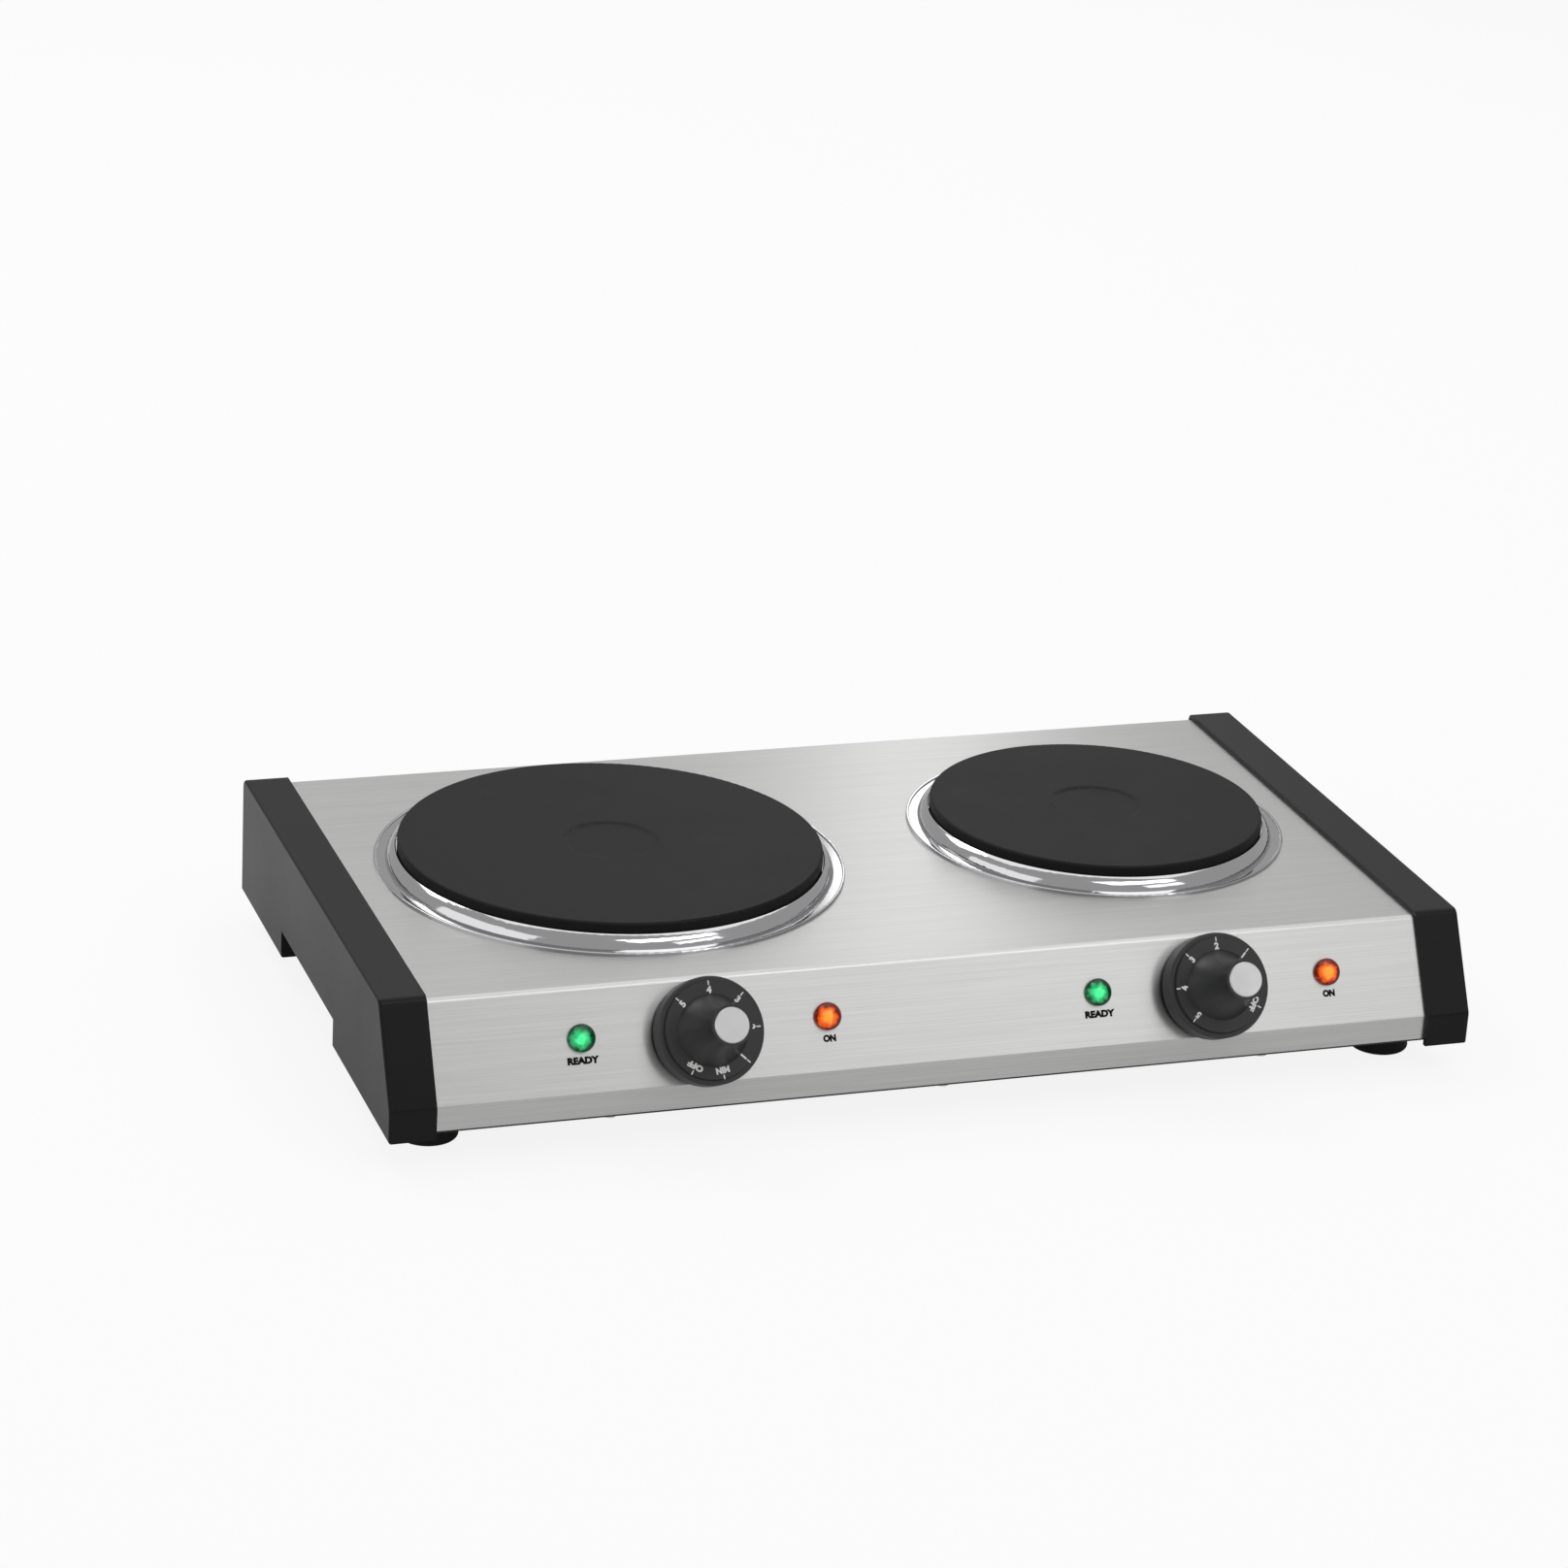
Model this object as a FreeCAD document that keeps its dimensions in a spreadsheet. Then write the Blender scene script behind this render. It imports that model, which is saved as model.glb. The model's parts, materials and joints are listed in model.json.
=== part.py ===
import FreeCAD, Part
import math
import os
import re
import Sketcher

# A countertop hot plate with two cast-iron plates, built as its separate pieces.
# Frame: X runs along the front, Y towards the back, Z up, with z = 0 on the table.
# The origin lies under the middle of the whole box. Lengths are millimetres, angles degrees.

# Driving sizes. Each is one cell of the sheet.
SIZES = {
    # Folded steel shell
    "body_depth": 277.8,
    "shell_height": 50.4,
    "shell_gauge": 0.8,
    "lip_rise": 10.7,
    "panel_lean": 28.6,
    "flange_width": 12.0,
    "top_bend": 3.0,
    "lip_bend": 1.8,
    "back_bend": 2.4,
    # End caps
    "cap_width": 20.5,
    "cap_wall": 2.5,
    "cap_rim": 2.2,
    "cap_drop": 2.0,
    "cap_gap": 2.0,
    "cap_corner": 4.0,
    "cap_edge": 1.2,
    "hold_setback": 130.3,
    "hold_length": 98.2,
    "hold_height": 13.2,
    "hold_depth": 15.0,
    "hold_wall": 2.0,
    "post_radius": 5.0,
    "post_inset": 8.0,
    "post_height": 18.0,
    "post_rib": 3.0,
    "post_spread": 167.0,
    # Base plate
    "base_gauge": 1.0,
    "base_margin": 0.5,
    "slot_width": 3.0,
    "slot_length": 60.0,
    "slot_pitch": 13.0,
    "slot_count": 8,
    # Feet
    "foot_height": 16.0,
    "foot_radius": 13.4,
    "foot_taper": 1.0,
    "foot_edge": 1.6,
    "foot_side_inset": 25.8,
    "foot_end_inset": 32.8,
    "foot_sink_radius": 5.0,
    "foot_sink_depth": 3.6,
    # Screws and nuts
    "hole_clearance": 0.2,
    "bolt_radius": 2.0,
    "bolt_head_radius": 4.0,
    "bolt_head_height": 2.6,
    "bolt_nut_flats": 7.0,
    "bolt_nut_height": 3.2,
    "bolt_spare": 1.0,
    "tapper_radius": 1.7,
    "tapper_head_radius": 3.4,
    "tapper_head_height": 1.8,
    "tapper_length": 9.0,
    "tapper_spread": 300.0,
    "thread_gap": 0.05,
    # Burner places
    "burner_setback": 125.2,
    "large_margin": 13.0,
    "small_margin": 14.6,
    "burner_gap": 41.4,
    "large_radius": 95.0,
    "small_radius": 76.7,
    # Trim rings
    "ring_overhang": 10.4,
    "ring_bead_width": 1.3,
    "ring_bead_rise": 1.4,
    "ring_flange": 5.2,
    "ring_roll": 8.0,
    "ring_rise": 6.4,
    "ring_crest": 0.5,
    "ring_round": 0.4,
    "ring_gauge": 0.8,
    "ring_gap": 0.6,
    "ring_skirt": 5.0,
    "ledge_rise": 3.0,
    "ledge_width": 7.0,
    "ring_clearance": 0.7,
    # Hot plates
    "plate_rise": 11.0,
    "plate_thick": 9.5,
    "plate_edge": 1.4,
    "plate_skirt": 9.0,
    "plate_skirt_wall": 6.0,
    "plate_skirt_gap": 0.5,
    "dish_radius": 22.0,
    "dish_depth": 0.8,
    "boss_radius": 14.0,
    "boss_crown": 2.0,
    # Heating elements and what lies under them
    "large_coil_radius": 58.0,
    "small_coil_radius": 42.0,
    "coil_tube_radius": 3.25,
    "coil_half_gap": 12.0,
    "pin_radius": 2.0,
    "pin_drop": 9.7,
    "pin_clearance": 2.0,
    "seat_gap": 0.1,
    "shield_gauge": 0.8,
    "shield_inset": 1.0,
    "bridge_gauge": 2.0,
    "bridge_width": 24.0,
    "bridge_standoff": 2.5,
    "bridge_foot": 12.0,
    "stud_radius": 4.0,
    "stud_clearance": 0.4,
    "stud_spare": 4.0,
    "washer_radius": 8.5,
    "washer_gauge": 1.6,
    "plate_nut_flats": 13.0,
    "plate_nut_height": 6.4,
    # Controls, measured up the sloped panel and out from its face
    "knob_shift": 0.6,
    "knob_up": 21.3,
    "knob_radius": 23.2,
    "knob_gap": 2.0,
    "skirt_front": 11.0,
    "skirt_chamfer": 0.5,
    "dial_step": 2.0,
    "dial_front": 12.8,
    "hub_radius": 15.5,
    "hub_hollow": 42.0,
    "tip_radius": 8.8,
    "knob_tip": 40.0,
    "knob_wall": 2.0,
    "knob_boss_radius": 6.5,
    "knob_cap_radius": 7.6,
    "knob_cap_sink": 1.2,
    "knob_cap_crown": 0.4,
    "shaft_radius": 3.0,
    "shaft_nose": 32.0,
    "shaft_tail": 13.5,
    "flat_offset": 1.8,
    "flat_start": 8.0,
    "running_gap": 0.05,
    "end_play": 0.6,
    "bushing_radius": 4.9,
    "bushing_nose": 4.4,
    "bushing_flange": 8.0,
    "bushing_shoulder": 5.2,
    "bushing_nut_flats": 14.0,
    "bushing_nut_height": 3.0,
    "thermostat_width": 34.0,
    "thermostat_height": 24.0,
    "thermostat_depth": 18.0,
    "tab_width": 6.3,
    "tab_gauge": 1.6,
    "tab_length": 8.0,
    "tab_spread": 16.0,
    # Pilot lamps
    "lamp_shift": 1.3,
    "lamp_spread": 109.3,
    "lamp_up": 23.6,
    "lens_radius": 6.0,
    "lens_band": 1.4,
    "lens_rise": 5.4,
    "lens_neck": 4.9,
    "lens_depth": 9.0,
    "lens_bore": 3.4,
    "lens_crown": 2.2,
    "neon_gap": 0.1,
    "neon_collar": 4.0,
    "clip_radius": 8.0,
    "clip_gauge": 1.0,
    # Mains side
    "block_offset": 10.0,
    "block_width": 46.0,
    "block_depth": 20.0,
    "block_height": 16.0,
    "block_step": 6.0,
    "block_setback": 33.0,
    "block_screw_spread": 30.0,
    "port_pitch": 8.0,
    "earth_run": 34.0,
    "gland_rise": 23.0,
    "gland_bore": 4.0,
    "gland_radius": 8.0,
    "gland_flange": 10.5,
    "gland_flange_gauge": 2.0,
    "gland_length": 12.0,
    "gland_nut_flats": 22.0,
    "gland_nut_height": 4.0,
    # Inner leads
    "lead_radius": 1.6,
    "lead_bend": 6.0,
    "lead_lead_out": 12.0,
    "live_rise": 4.5,
    "neutral_rise": 11.0,
    "earth_rise": 13.5,
}

# Places and levels worked out from the driving sizes.
LAYOUT = {
    # Side to side: the burners and the margins beside them set the width
    "large_reach": "large_radius + ring_overhang",
    "small_reach": "small_radius + ring_overhang",
    "margins": "large_margin + burner_gap + small_margin",
    "half_width": "cap_width + large_reach + small_reach + margins / 2",
    "cap_inner": "half_width - cap_width",
    "large_offset": "cap_inner - large_margin - large_reach",
    "small_offset": "cap_inner - small_margin - small_reach",
    "left_knob_offset": "large_offset - knob_shift",
    "right_knob_offset": "small_offset - knob_shift",
    "shell_half": "half_width - cap_wall - cap_gap",
    "post_side": "half_width - cap_wall - post_inset",
    "foot_side": "half_width - foot_side_inset",
    "left_ready": "lamp_shift - large_offset - lamp_spread / 2",
    "left_on": "lamp_shift - large_offset + lamp_spread / 2",
    "right_ready": "lamp_shift + small_offset - lamp_spread / 2",
    "right_on": "lamp_shift + small_offset + lamp_spread / 2",
    "burner_spacing": "large_offset + small_offset",
    "knob_spacing": "left_knob_offset + right_knob_offset",
    # Front to back
    "knob_reach": "knob_tip * cos(panel_lean) + (tip_radius - knob_up) * sin(panel_lean) - cap_rim",
    "cap_back": "(body_depth + knob_reach) / 2",
    "cap_lip": "cap_back - body_depth",
    "shell_back": "cap_back - cap_rim",
    "shell_lip": "cap_lip + cap_rim",
    "shell_bend": "shell_lip + (shell_top - lip_top) * tan(panel_lean)",
    "cap_bend": "shell_bend - cap_rim * tan(45 - panel_lean / 2)",
    "burner_line": "cap_back - burner_setback",
    "hold_line": "cap_back - hold_setback",
    "flange_middle": "(shell_gauge + flange_width) / 2",
    "block_front": "shell_back - block_setback - block_depth",
    # Heights
    "base_top": "foot_height + base_gauge",
    "shell_top": "base_top + shell_height",
    "cap_floor": "foot_height - cap_drop",
    "lip_top": "base_top + lip_rise",
    "cap_lip_top": "lip_top + cap_rim * tan(panel_lean / 2)",
    "cap_top": "shell_top + cap_rim",
    "shell_inside": "shell_top - shell_gauge",
    "hold_top": "cap_floor + hold_height",
    "ledge_top": "shell_top + ledge_rise",
    "crest_top": "shell_top + ring_rise",
    "plate_top": "shell_top + plate_rise",
    "plate_under": "plate_top - plate_thick",
    "boss_ceiling": "plate_under - boss_crown",
    "skirt_under": "shell_top - plate_skirt",
    "coil_middle": "plate_under - coil_tube_radius - seat_gap",
    "shield_under": "skirt_under - shield_gauge",
    "bridge_under": "shield_under - bridge_gauge",
    "washer_under": "bridge_under - washer_gauge",
    "plate_nut_under": "washer_under - plate_nut_height",
    "stud_under": "plate_nut_under - stud_spare",
    "pin_under": "bridge_under - pin_drop",
    "gland_height": "base_top + gland_rise",
    "live_level": "base_top + live_rise",
    "neutral_level": "base_top + neutral_rise",
    "earth_level": "base_top + earth_rise",
    # Out from the panel face, so negative values lie behind it
    "bushing_back": "-shell_gauge - bushing_shoulder",
    "thermostat_back": "bushing_back - thermostat_depth",
    "tab_back": "thermostat_back - tab_length",
    "shaft_back": "bushing_back - shaft_tail",
    "knob_boss_back": "bushing_nose + end_play",
    "knob_bore": "shaft_radius + running_gap",
    "dial_radius": "knob_radius - dial_step",
}

doc = FreeCAD.newDocument("hot_plate_burner")
sheet = doc.addObject("Spreadsheet::Sheet", "dims")
for row, (alias, size) in enumerate(SIZES.items(), start=1):
    sheet.set(f"A{row}", alias)
    sheet.set(f"B{row}", str(size))
    sheet.setAlias(f"B{row}", alias)
doc.recompute()

pieces = []

# Two places closer together than this count as one.
NEAR = 0.01


# Formulas and numbers

def formula(text):
    """Write a formula in terms of the sheet's cells."""
    def swap(found):
        word = found.group(0)
        if word in LAYOUT:
            return "(" + formula(LAYOUT[word]) + ")"
        if word in SIZES:
            return "dims." + word
        return word
    return re.sub(r"[a-z][a-z_]*", swap, text)


def value(text):
    """The number that a formula gives now."""
    return float(sheet.evalExpression(formula(text)))


# Bodies, sketches and features

def new_body(label):
    body = doc.addObject("PartDesign::Body", label)
    body.Label = label
    pieces.append(body)
    return body


def origin_part(body, role):
    return next(part for part in body.Origin.OriginFeatures if part.Role == role)


def new_sketch(body, role, shift="0"):
    """A sketch on one of the body's origin planes, shifted along the plane's normal."""
    sketch = body.newObject("Sketcher::SketchObject", body.Label + "_sketch")
    sketch.AttachmentSupport = [(origin_part(body, role), "")]
    sketch.MapMode = "FlatFace"
    sketch.setExpression("AttachmentOffset.Base.z", formula(shift))
    doc.recompute()
    return sketch


def arc_between(start, end, radius):
    """The short arc between two points; a positive radius has its centre to the left of the way."""
    chord = end.sub(start)
    left = FreeCAD.Vector(-chord.y, chord.x, 0).normalize()
    if radius < 0:
        left = left.negative()
    rise = math.sqrt(radius ** 2 - (chord.Length / 2) ** 2)
    centre = (start + end) / 2 + left * rise
    return Part.Arc(start, centre - left * abs(radius), end)


def dimension(sketch, kind, geometry, vertex, text):
    """Hold one coordinate of a vertex at a formula's value."""
    index = sketch.addConstraint(Sketcher.Constraint(kind, -1, 1, geometry, vertex, value(text)))
    sketch.setExpression(f"Constraints[{index}]", formula(text))


def outline(sketch, points):
    """Draw a closed outline. A point is (x, y), or (x, y, radius) where an arc leaves it."""
    spots = [FreeCAD.Vector(value(point[0]), value(point[1]), 0) for point in points]
    sides = []
    for number, point in enumerate(points):
        start = spots[number]
        end = spots[(number + 1) % len(points)]
        if len(point) == 2:
            side = sketch.addGeometry(Part.LineSegment(start, end), False)
        else:
            side = sketch.addGeometry(arc_between(start, end, value(point[2])), False)
        near = 1 if sketch.getPoint(side, 1).distanceToPoint(start) < 1e-6 else 2
        sides.append((side, near, 3 - near))
    for number, point in enumerate(points):
        side, near, far = sides[number]
        following, following_near, _ = sides[(number + 1) % len(points)]
        sketch.addConstraint(Sketcher.Constraint("Coincident", side, far, following, following_near))
        dimension(sketch, "DistanceX", side, near, point[0])
        dimension(sketch, "DistanceY", side, near, point[1])
        if len(point) == 3:
            radius = point[2].lstrip("-")
            index = sketch.addConstraint(Sketcher.Constraint("Radius", side, value(radius)))
            sketch.setExpression(f"Constraints[{index}]", formula(radius))


def rectangle(sketch, low_x, high_x, low_y, high_y):
    outline(sketch, [(low_x, low_y), (high_x, low_y), (high_x, high_y), (low_x, high_y)])


def circle(sketch, x, y, radius):
    centre = FreeCAD.Vector(value(x), value(y), 0)
    rim = sketch.addGeometry(Part.Circle(centre, FreeCAD.Vector(0, 0, 1), value(radius)), False)
    dimension(sketch, "DistanceX", rim, 3, x)
    dimension(sketch, "DistanceY", rim, 3, y)
    index = sketch.addConstraint(Sketcher.Constraint("Radius", rim, value(radius)))
    sketch.setExpression(f"Constraints[{index}]", formula(radius))


def hexagon(sketch, flats):
    half = f"{flats} / 2"
    low = f"{flats} / 2 * tan(30)"
    tall = f"{flats} / 2 / cos(30)"
    outline(sketch, [
        ("0", f"-({tall})"), (half, f"-({low})"), (half, low),
        ("0", tall), (f"-({half})", low), (f"-({half})", f"-({low})"),
    ])


def extrude(body, kind, sketch, length, backwards=False, both_ways=False):
    """Pad or pocket a sketch, and stop if it leaves the volume as it was."""
    before = body.Shape.Volume if body.Tip else 0.0
    feature = body.newObject("PartDesign::" + kind, body.Label + "_" + kind.lower())
    feature.Profile = sketch
    feature.setExpression("Length", formula(length))
    feature.Reversed = backwards
    feature.SideType = "Symmetric" if both_ways else "One side"
    doc.recompute()
    if abs(body.Shape.Volume - before) < 1e-3:
        raise RuntimeError(f"{body.Label}: a {kind.lower()} changes nothing")
    return feature


def pad(body, sketch, length, **how):
    return extrude(body, "Pad", sketch, length, **how)


def pocket(body, sketch, length, **how):
    return extrude(body, "Pocket", sketch, length, **how)


def round_edges(body, radius, chosen):
    """Fillet the edges for which chosen(edge) holds."""
    names = [f"Edge{number}" for number, edge in enumerate(body.Shape.Edges, start=1) if chosen(edge)]
    if not names:
        raise RuntimeError(f"{body.Label}: no edge to round")
    feature = body.newObject("PartDesign::Fillet", body.Label + "_fillet")
    feature.Base = (body.Tip if body.Tip != feature else feature.BaseFeature, names)
    feature.setExpression("Radius", formula(radius))
    doc.recompute()
    return feature


def runs_along_x_at(*places):
    """A test for straight edges along X at given (y, z) places."""
    spots = [(value(y), value(z)) for y, z in places]

    def chosen(edge):
        box = edge.BoundBox
        if box.YLength > NEAR or box.ZLength > NEAR:
            return False
        return any(math.hypot(box.YMin - y, box.ZMin - z) < NEAR for y, z in spots)
    return chosen


def circles_at(*places):
    """A test for the rims of a turned body at given (radius, height) places."""
    spots = [(value(radius), value(height)) for radius, height in places]

    def chosen(edge):
        box = edge.BoundBox
        if box.ZLength > NEAR:
            return False
        return any(abs(box.XMax - radius) < NEAR and abs(box.ZMin - height) < NEAR
                   for radius, height in spots)
    return chosen


def place(piece, x="0", y="0", z="0"):
    piece.setExpression("Placement.Base.x", formula(x))
    piece.setExpression("Placement.Base.y", formula(y))
    piece.setExpression("Placement.Base.z", formula(z))


def place_on_panel(piece, x, up):
    """Stand a piece on the sloped panel: its Z points out of the panel, its Y up the slope."""
    piece.Placement = FreeCAD.Placement(FreeCAD.Vector(), FreeCAD.Rotation(FreeCAD.Vector(1, 0, 0), 45))
    piece.setExpression("Placement.Rotation.Angle", formula("90 - panel_lean"))
    place(piece, x, f"shell_lip + {up} * sin(panel_lean)", f"lip_top + {up} * cos(panel_lean)")


def turned(label, points):
    """A body of revolution about its own Z axis, from (radius, height) points."""
    body = new_body(label)
    sketch = new_sketch(body, "XZ_Plane")
    outline(sketch, points)
    doc.recompute()
    feature = body.newObject("PartDesign::Revolution", label + "_turn")
    feature.Profile = sketch
    feature.ReferenceAxis = (sketch, ["V_Axis"])
    feature.Angle = 360
    doc.recompute()
    return body


def repeat(body, length_x, count_x, length_y=None, count_y=1):
    """Copy a body's last feature along X, and along a second way if one is given."""
    original = body.Tip
    pattern = body.newObject("PartDesign::LinearPattern", body.Label + "_pattern")
    pattern.Originals = [original]
    pattern.Direction = (origin_part(body, "X_Axis"), [""])
    pattern.setExpression("Length", formula(length_x))
    pattern.setExpression("Occurrences", formula(str(count_x)))
    if length_y is not None:
        pattern.Direction2 = (origin_part(body, "Y_Axis"), [""])
        pattern.setExpression("Length2", formula(length_y))
        pattern.setExpression("Occurrences2", formula(str(count_y)))
    body.Tip = pattern
    doc.recompute()
    return pattern


# Folded steel shell

def hole_radius(radius):
    """Radius of the shell's hole for a burner."""
    return f"({radius} - ledge_width + ring_gauge + ring_clearance)"


def panel_sketch(body):
    """A sketch on the sloped panel's face: x along it, y up the slope from the lip."""
    sketch = new_sketch(body, "XY_Plane")
    sketch.AttachmentOffset = FreeCAD.Placement(
        FreeCAD.Vector(), FreeCAD.Rotation(FreeCAD.Vector(1, 0, 0), 45))
    sketch.setExpression("AttachmentOffset.Rotation.Angle", formula("90 - panel_lean"))
    sketch.setExpression("AttachmentOffset.Base.y", formula("shell_lip"))
    sketch.setExpression("AttachmentOffset.Base.z", formula("lip_top"))
    doc.recompute()
    return sketch


def build_shell():
    body = new_body("body_shell")
    section = new_sketch(body, "YZ_Plane")
    inner_floor = "base_top + shell_gauge"
    inner_bend = "shell_bend + shell_gauge * tan(45 - panel_lean / 2)"
    inner_lip_top = "lip_top - shell_gauge * tan(panel_lean / 2)"
    outline(section, [
        ("shell_lip + flange_width", "base_top"),
        ("shell_lip", "base_top"),
        ("shell_lip", "lip_top"),
        ("shell_bend", "shell_top"),
        ("shell_back", "shell_top"),
        ("shell_back", "base_top"),
        ("shell_back - flange_width", "base_top"),
        ("shell_back - flange_width", inner_floor),
        ("shell_back - shell_gauge", inner_floor),
        ("shell_back - shell_gauge", "shell_inside"),
        (inner_bend, "shell_inside"),
        ("shell_lip + shell_gauge", inner_lip_top),
        ("shell_lip + shell_gauge", inner_floor),
        ("shell_lip + flange_width", inner_floor),
    ])
    pad(body, section, "2 * shell_half", both_ways=True)
    round_edges(body, "top_bend", runs_along_x_at(("shell_bend", "shell_top")))
    round_edges(body, "top_bend - shell_gauge", runs_along_x_at((inner_bend, "shell_inside")))
    round_edges(body, "lip_bend", runs_along_x_at(("shell_lip", "lip_top")))
    round_edges(body, "lip_bend - shell_gauge", runs_along_x_at(("shell_lip + shell_gauge", inner_lip_top)))
    round_edges(body, "back_bend", runs_along_x_at(("shell_back", "shell_top")))
    round_edges(body, "back_bend - shell_gauge",
                runs_along_x_at(("shell_back - shell_gauge", "shell_inside")))

    burner_holes = new_sketch(body, "XY_Plane", "shell_top")
    circle(burner_holes, "-large_offset", "burner_line", hole_radius("large_radius"))
    circle(burner_holes, "small_offset", "burner_line", hole_radius("small_radius"))
    pocket(body, burner_holes, "2 * shell_gauge")

    control_holes = panel_sketch(body)
    for offset in ("-left_knob_offset", "right_knob_offset"):
        circle(control_holes, offset, "knob_up", "bushing_radius + hole_clearance")
    for offset in ("left_ready", "left_on", "right_ready", "right_on"):
        circle(control_holes, offset, "lamp_up", "lens_neck + hole_clearance")
    pocket(body, control_holes, "2 * shell_gauge")

    gland_hole = new_sketch(body, "XZ_Plane", "-shell_back")
    circle(gland_hole, "block_offset", "gland_height", "gland_radius + hole_clearance")
    pocket(body, gland_hole, "4 * shell_gauge", both_ways=True)

    screw_holes = new_sketch(body, "XY_Plane", "base_top")
    for side in ("-tapper_spread / 2", "0", "tapper_spread / 2"):
        for row in ("shell_lip + flange_middle", "shell_back - flange_middle"):
            circle(screw_holes, side, row, "tapper_radius + thread_gap")
    pocket(body, screw_holes, "2 * shell_gauge", backwards=True)


# End caps

def build_end_caps():
    body = new_body("right_end_cap")
    side_view = new_sketch(body, "YZ_Plane", "cap_inner")
    outline(side_view, [
        ("cap_lip", "cap_floor"),
        ("cap_back", "cap_floor"),
        ("cap_back", "cap_top"),
        ("cap_bend", "cap_top"),
        ("cap_lip", "cap_lip_top"),
    ])
    pad(body, side_view, "cap_width")
    cavity = new_sketch(body, "YZ_Plane", "cap_inner")
    below = "cap_floor - cap_wall"
    outline(cavity, [
        ("shell_lip", below),
        ("shell_back", below),
        ("shell_back", "shell_top"),
        ("shell_bend", "shell_top"),
        ("shell_lip", "lip_top"),
    ])
    pocket(body, cavity, "cap_width - cap_wall", backwards=True)
    round_edges(body, "cap_corner", runs_along_x_at(
        ("cap_back", "cap_top"), ("cap_bend", "cap_top"), ("cap_lip", "cap_lip_top")))
    outer_face = value("half_width")
    round_edges(body, "cap_edge", lambda edge: edge.BoundBox.XMin > outer_face - NEAR)

    hold_half = "hold_length / 2"
    housing = new_sketch(body, "YZ_Plane", "half_width - hold_depth - hold_wall")
    rectangle(housing, f"hold_line - {hold_half} - hold_wall", f"hold_line + {hold_half} + hold_wall",
              "cap_floor", "hold_top + hold_wall")
    pad(body, housing, "hold_depth + hold_wall - cap_wall / 2")
    hold = new_sketch(body, "YZ_Plane", "half_width - hold_depth")
    rectangle(hold, f"hold_line - {hold_half}", f"hold_line + {hold_half}", below, "hold_top")
    pocket(body, hold, "hold_depth + cap_wall", backwards=True)

    rows = ("hold_line - post_spread / 2", "hold_line + post_spread / 2")
    ribs = new_sketch(body, "XY_Plane", "base_top")
    for row in rows:
        rectangle(ribs, "post_side", "half_width - cap_wall / 2",
                  f"{row} - post_rib / 2", f"{row} + post_rib / 2")
    pad(body, ribs, "post_height")
    posts = new_sketch(body, "XY_Plane", "base_top")
    for row in rows:
        circle(posts, "post_side", row, "post_radius")
    pad(body, posts, "post_height")
    pilots = new_sketch(body, "XY_Plane", "base_top")
    for row in rows:
        circle(pilots, "post_side", row, "tapper_radius + thread_gap")
    pocket(body, pilots, "tapper_length", backwards=True)

    mirrored = doc.addObject("Part::Mirroring", "left_end_cap")
    mirrored.Label = "left_end_cap"
    mirrored.Source = body
    mirrored.Normal = FreeCAD.Vector(1, 0, 0)
    pieces.append(mirrored)


# Base plate and feet

def build_base_plate():
    body = new_body("base_plate")
    plan = new_sketch(body, "XY_Plane", "foot_height")
    front = "shell_lip + base_margin"
    back = "shell_back - base_margin"
    notch_side = "half_width - hold_depth - hold_wall - base_margin"
    notch_low = "hold_line - hold_length / 2 - hold_wall - base_margin"
    notch_high = "hold_line + hold_length / 2 + hold_wall + base_margin"
    outline(plan, [
        ("-shell_half", front), ("shell_half", front),
        ("shell_half", notch_low), (notch_side, notch_low),
        (notch_side, notch_high), ("shell_half", notch_high),
        ("shell_half", back), ("-shell_half", back),
        ("-shell_half", notch_high), (f"-({notch_side})", notch_high),
        (f"-({notch_side})", notch_low), ("-shell_half", notch_low),
    ])
    pad(body, plan, "base_gauge")

    holes = new_sketch(body, "XY_Plane", "foot_height")
    for side in ("-tapper_spread / 2", "0", "tapper_spread / 2"):
        for row in ("shell_lip + flange_middle", "shell_back - flange_middle"):
            circle(holes, side, row, "tapper_radius + hole_clearance")
    for side in ("-post_side", "post_side"):
        for row in ("hold_line - post_spread / 2", "hold_line + post_spread / 2"):
            circle(holes, side, row, "tapper_radius + hole_clearance")
    for side in ("-foot_side", "foot_side"):
        for row in ("shell_lip + foot_end_inset", "shell_back - foot_end_inset"):
            circle(holes, side, row, "bolt_radius + hole_clearance")
    for side in ("block_offset - block_screw_spread / 2", "block_offset + block_screw_spread / 2"):
        circle(holes, side, "block_front + block_depth / 2", "tapper_radius + hole_clearance")
    circle(holes, "block_offset", "block_front - earth_run", "bolt_radius + thread_gap")
    pocket(body, holes, "base_gauge", backwards=True)

    for middle in ("-large_offset", "small_offset"):
        slot = new_sketch(body, "XY_Plane", "foot_height")
        left = f"{middle} - slot_pitch * (slot_count - 1) / 2"
        half_slot = "slot_width / 2"
        rectangle(slot, f"{left} - {half_slot}", f"{left} + {half_slot}",
                  "burner_line - slot_length / 2", "burner_line + slot_length / 2")
        pocket(body, slot, "base_gauge", backwards=True)
        repeat(body, "slot_pitch * (slot_count - 1)", "slot_count")


def build_feet():
    for end, row in (("front", "shell_lip + foot_end_inset"), ("rear", "shell_back - foot_end_inset")):
        for hand, side in (("left", "-foot_side"), ("right", "foot_side")):
            foot = turned(f"{end}_{hand}_foot", [
                ("bolt_radius + hole_clearance", "foot_sink_depth"),
                ("foot_sink_radius", "foot_sink_depth"),
                ("foot_sink_radius", "0"),
                ("foot_radius - foot_edge", "0", "foot_edge"),
                ("foot_radius", "foot_edge"),
                ("foot_radius - foot_taper", "foot_height"),
                ("bolt_radius + hole_clearance", "foot_height"),
            ])
            place(foot, side, row)


# Screws and nuts

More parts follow.
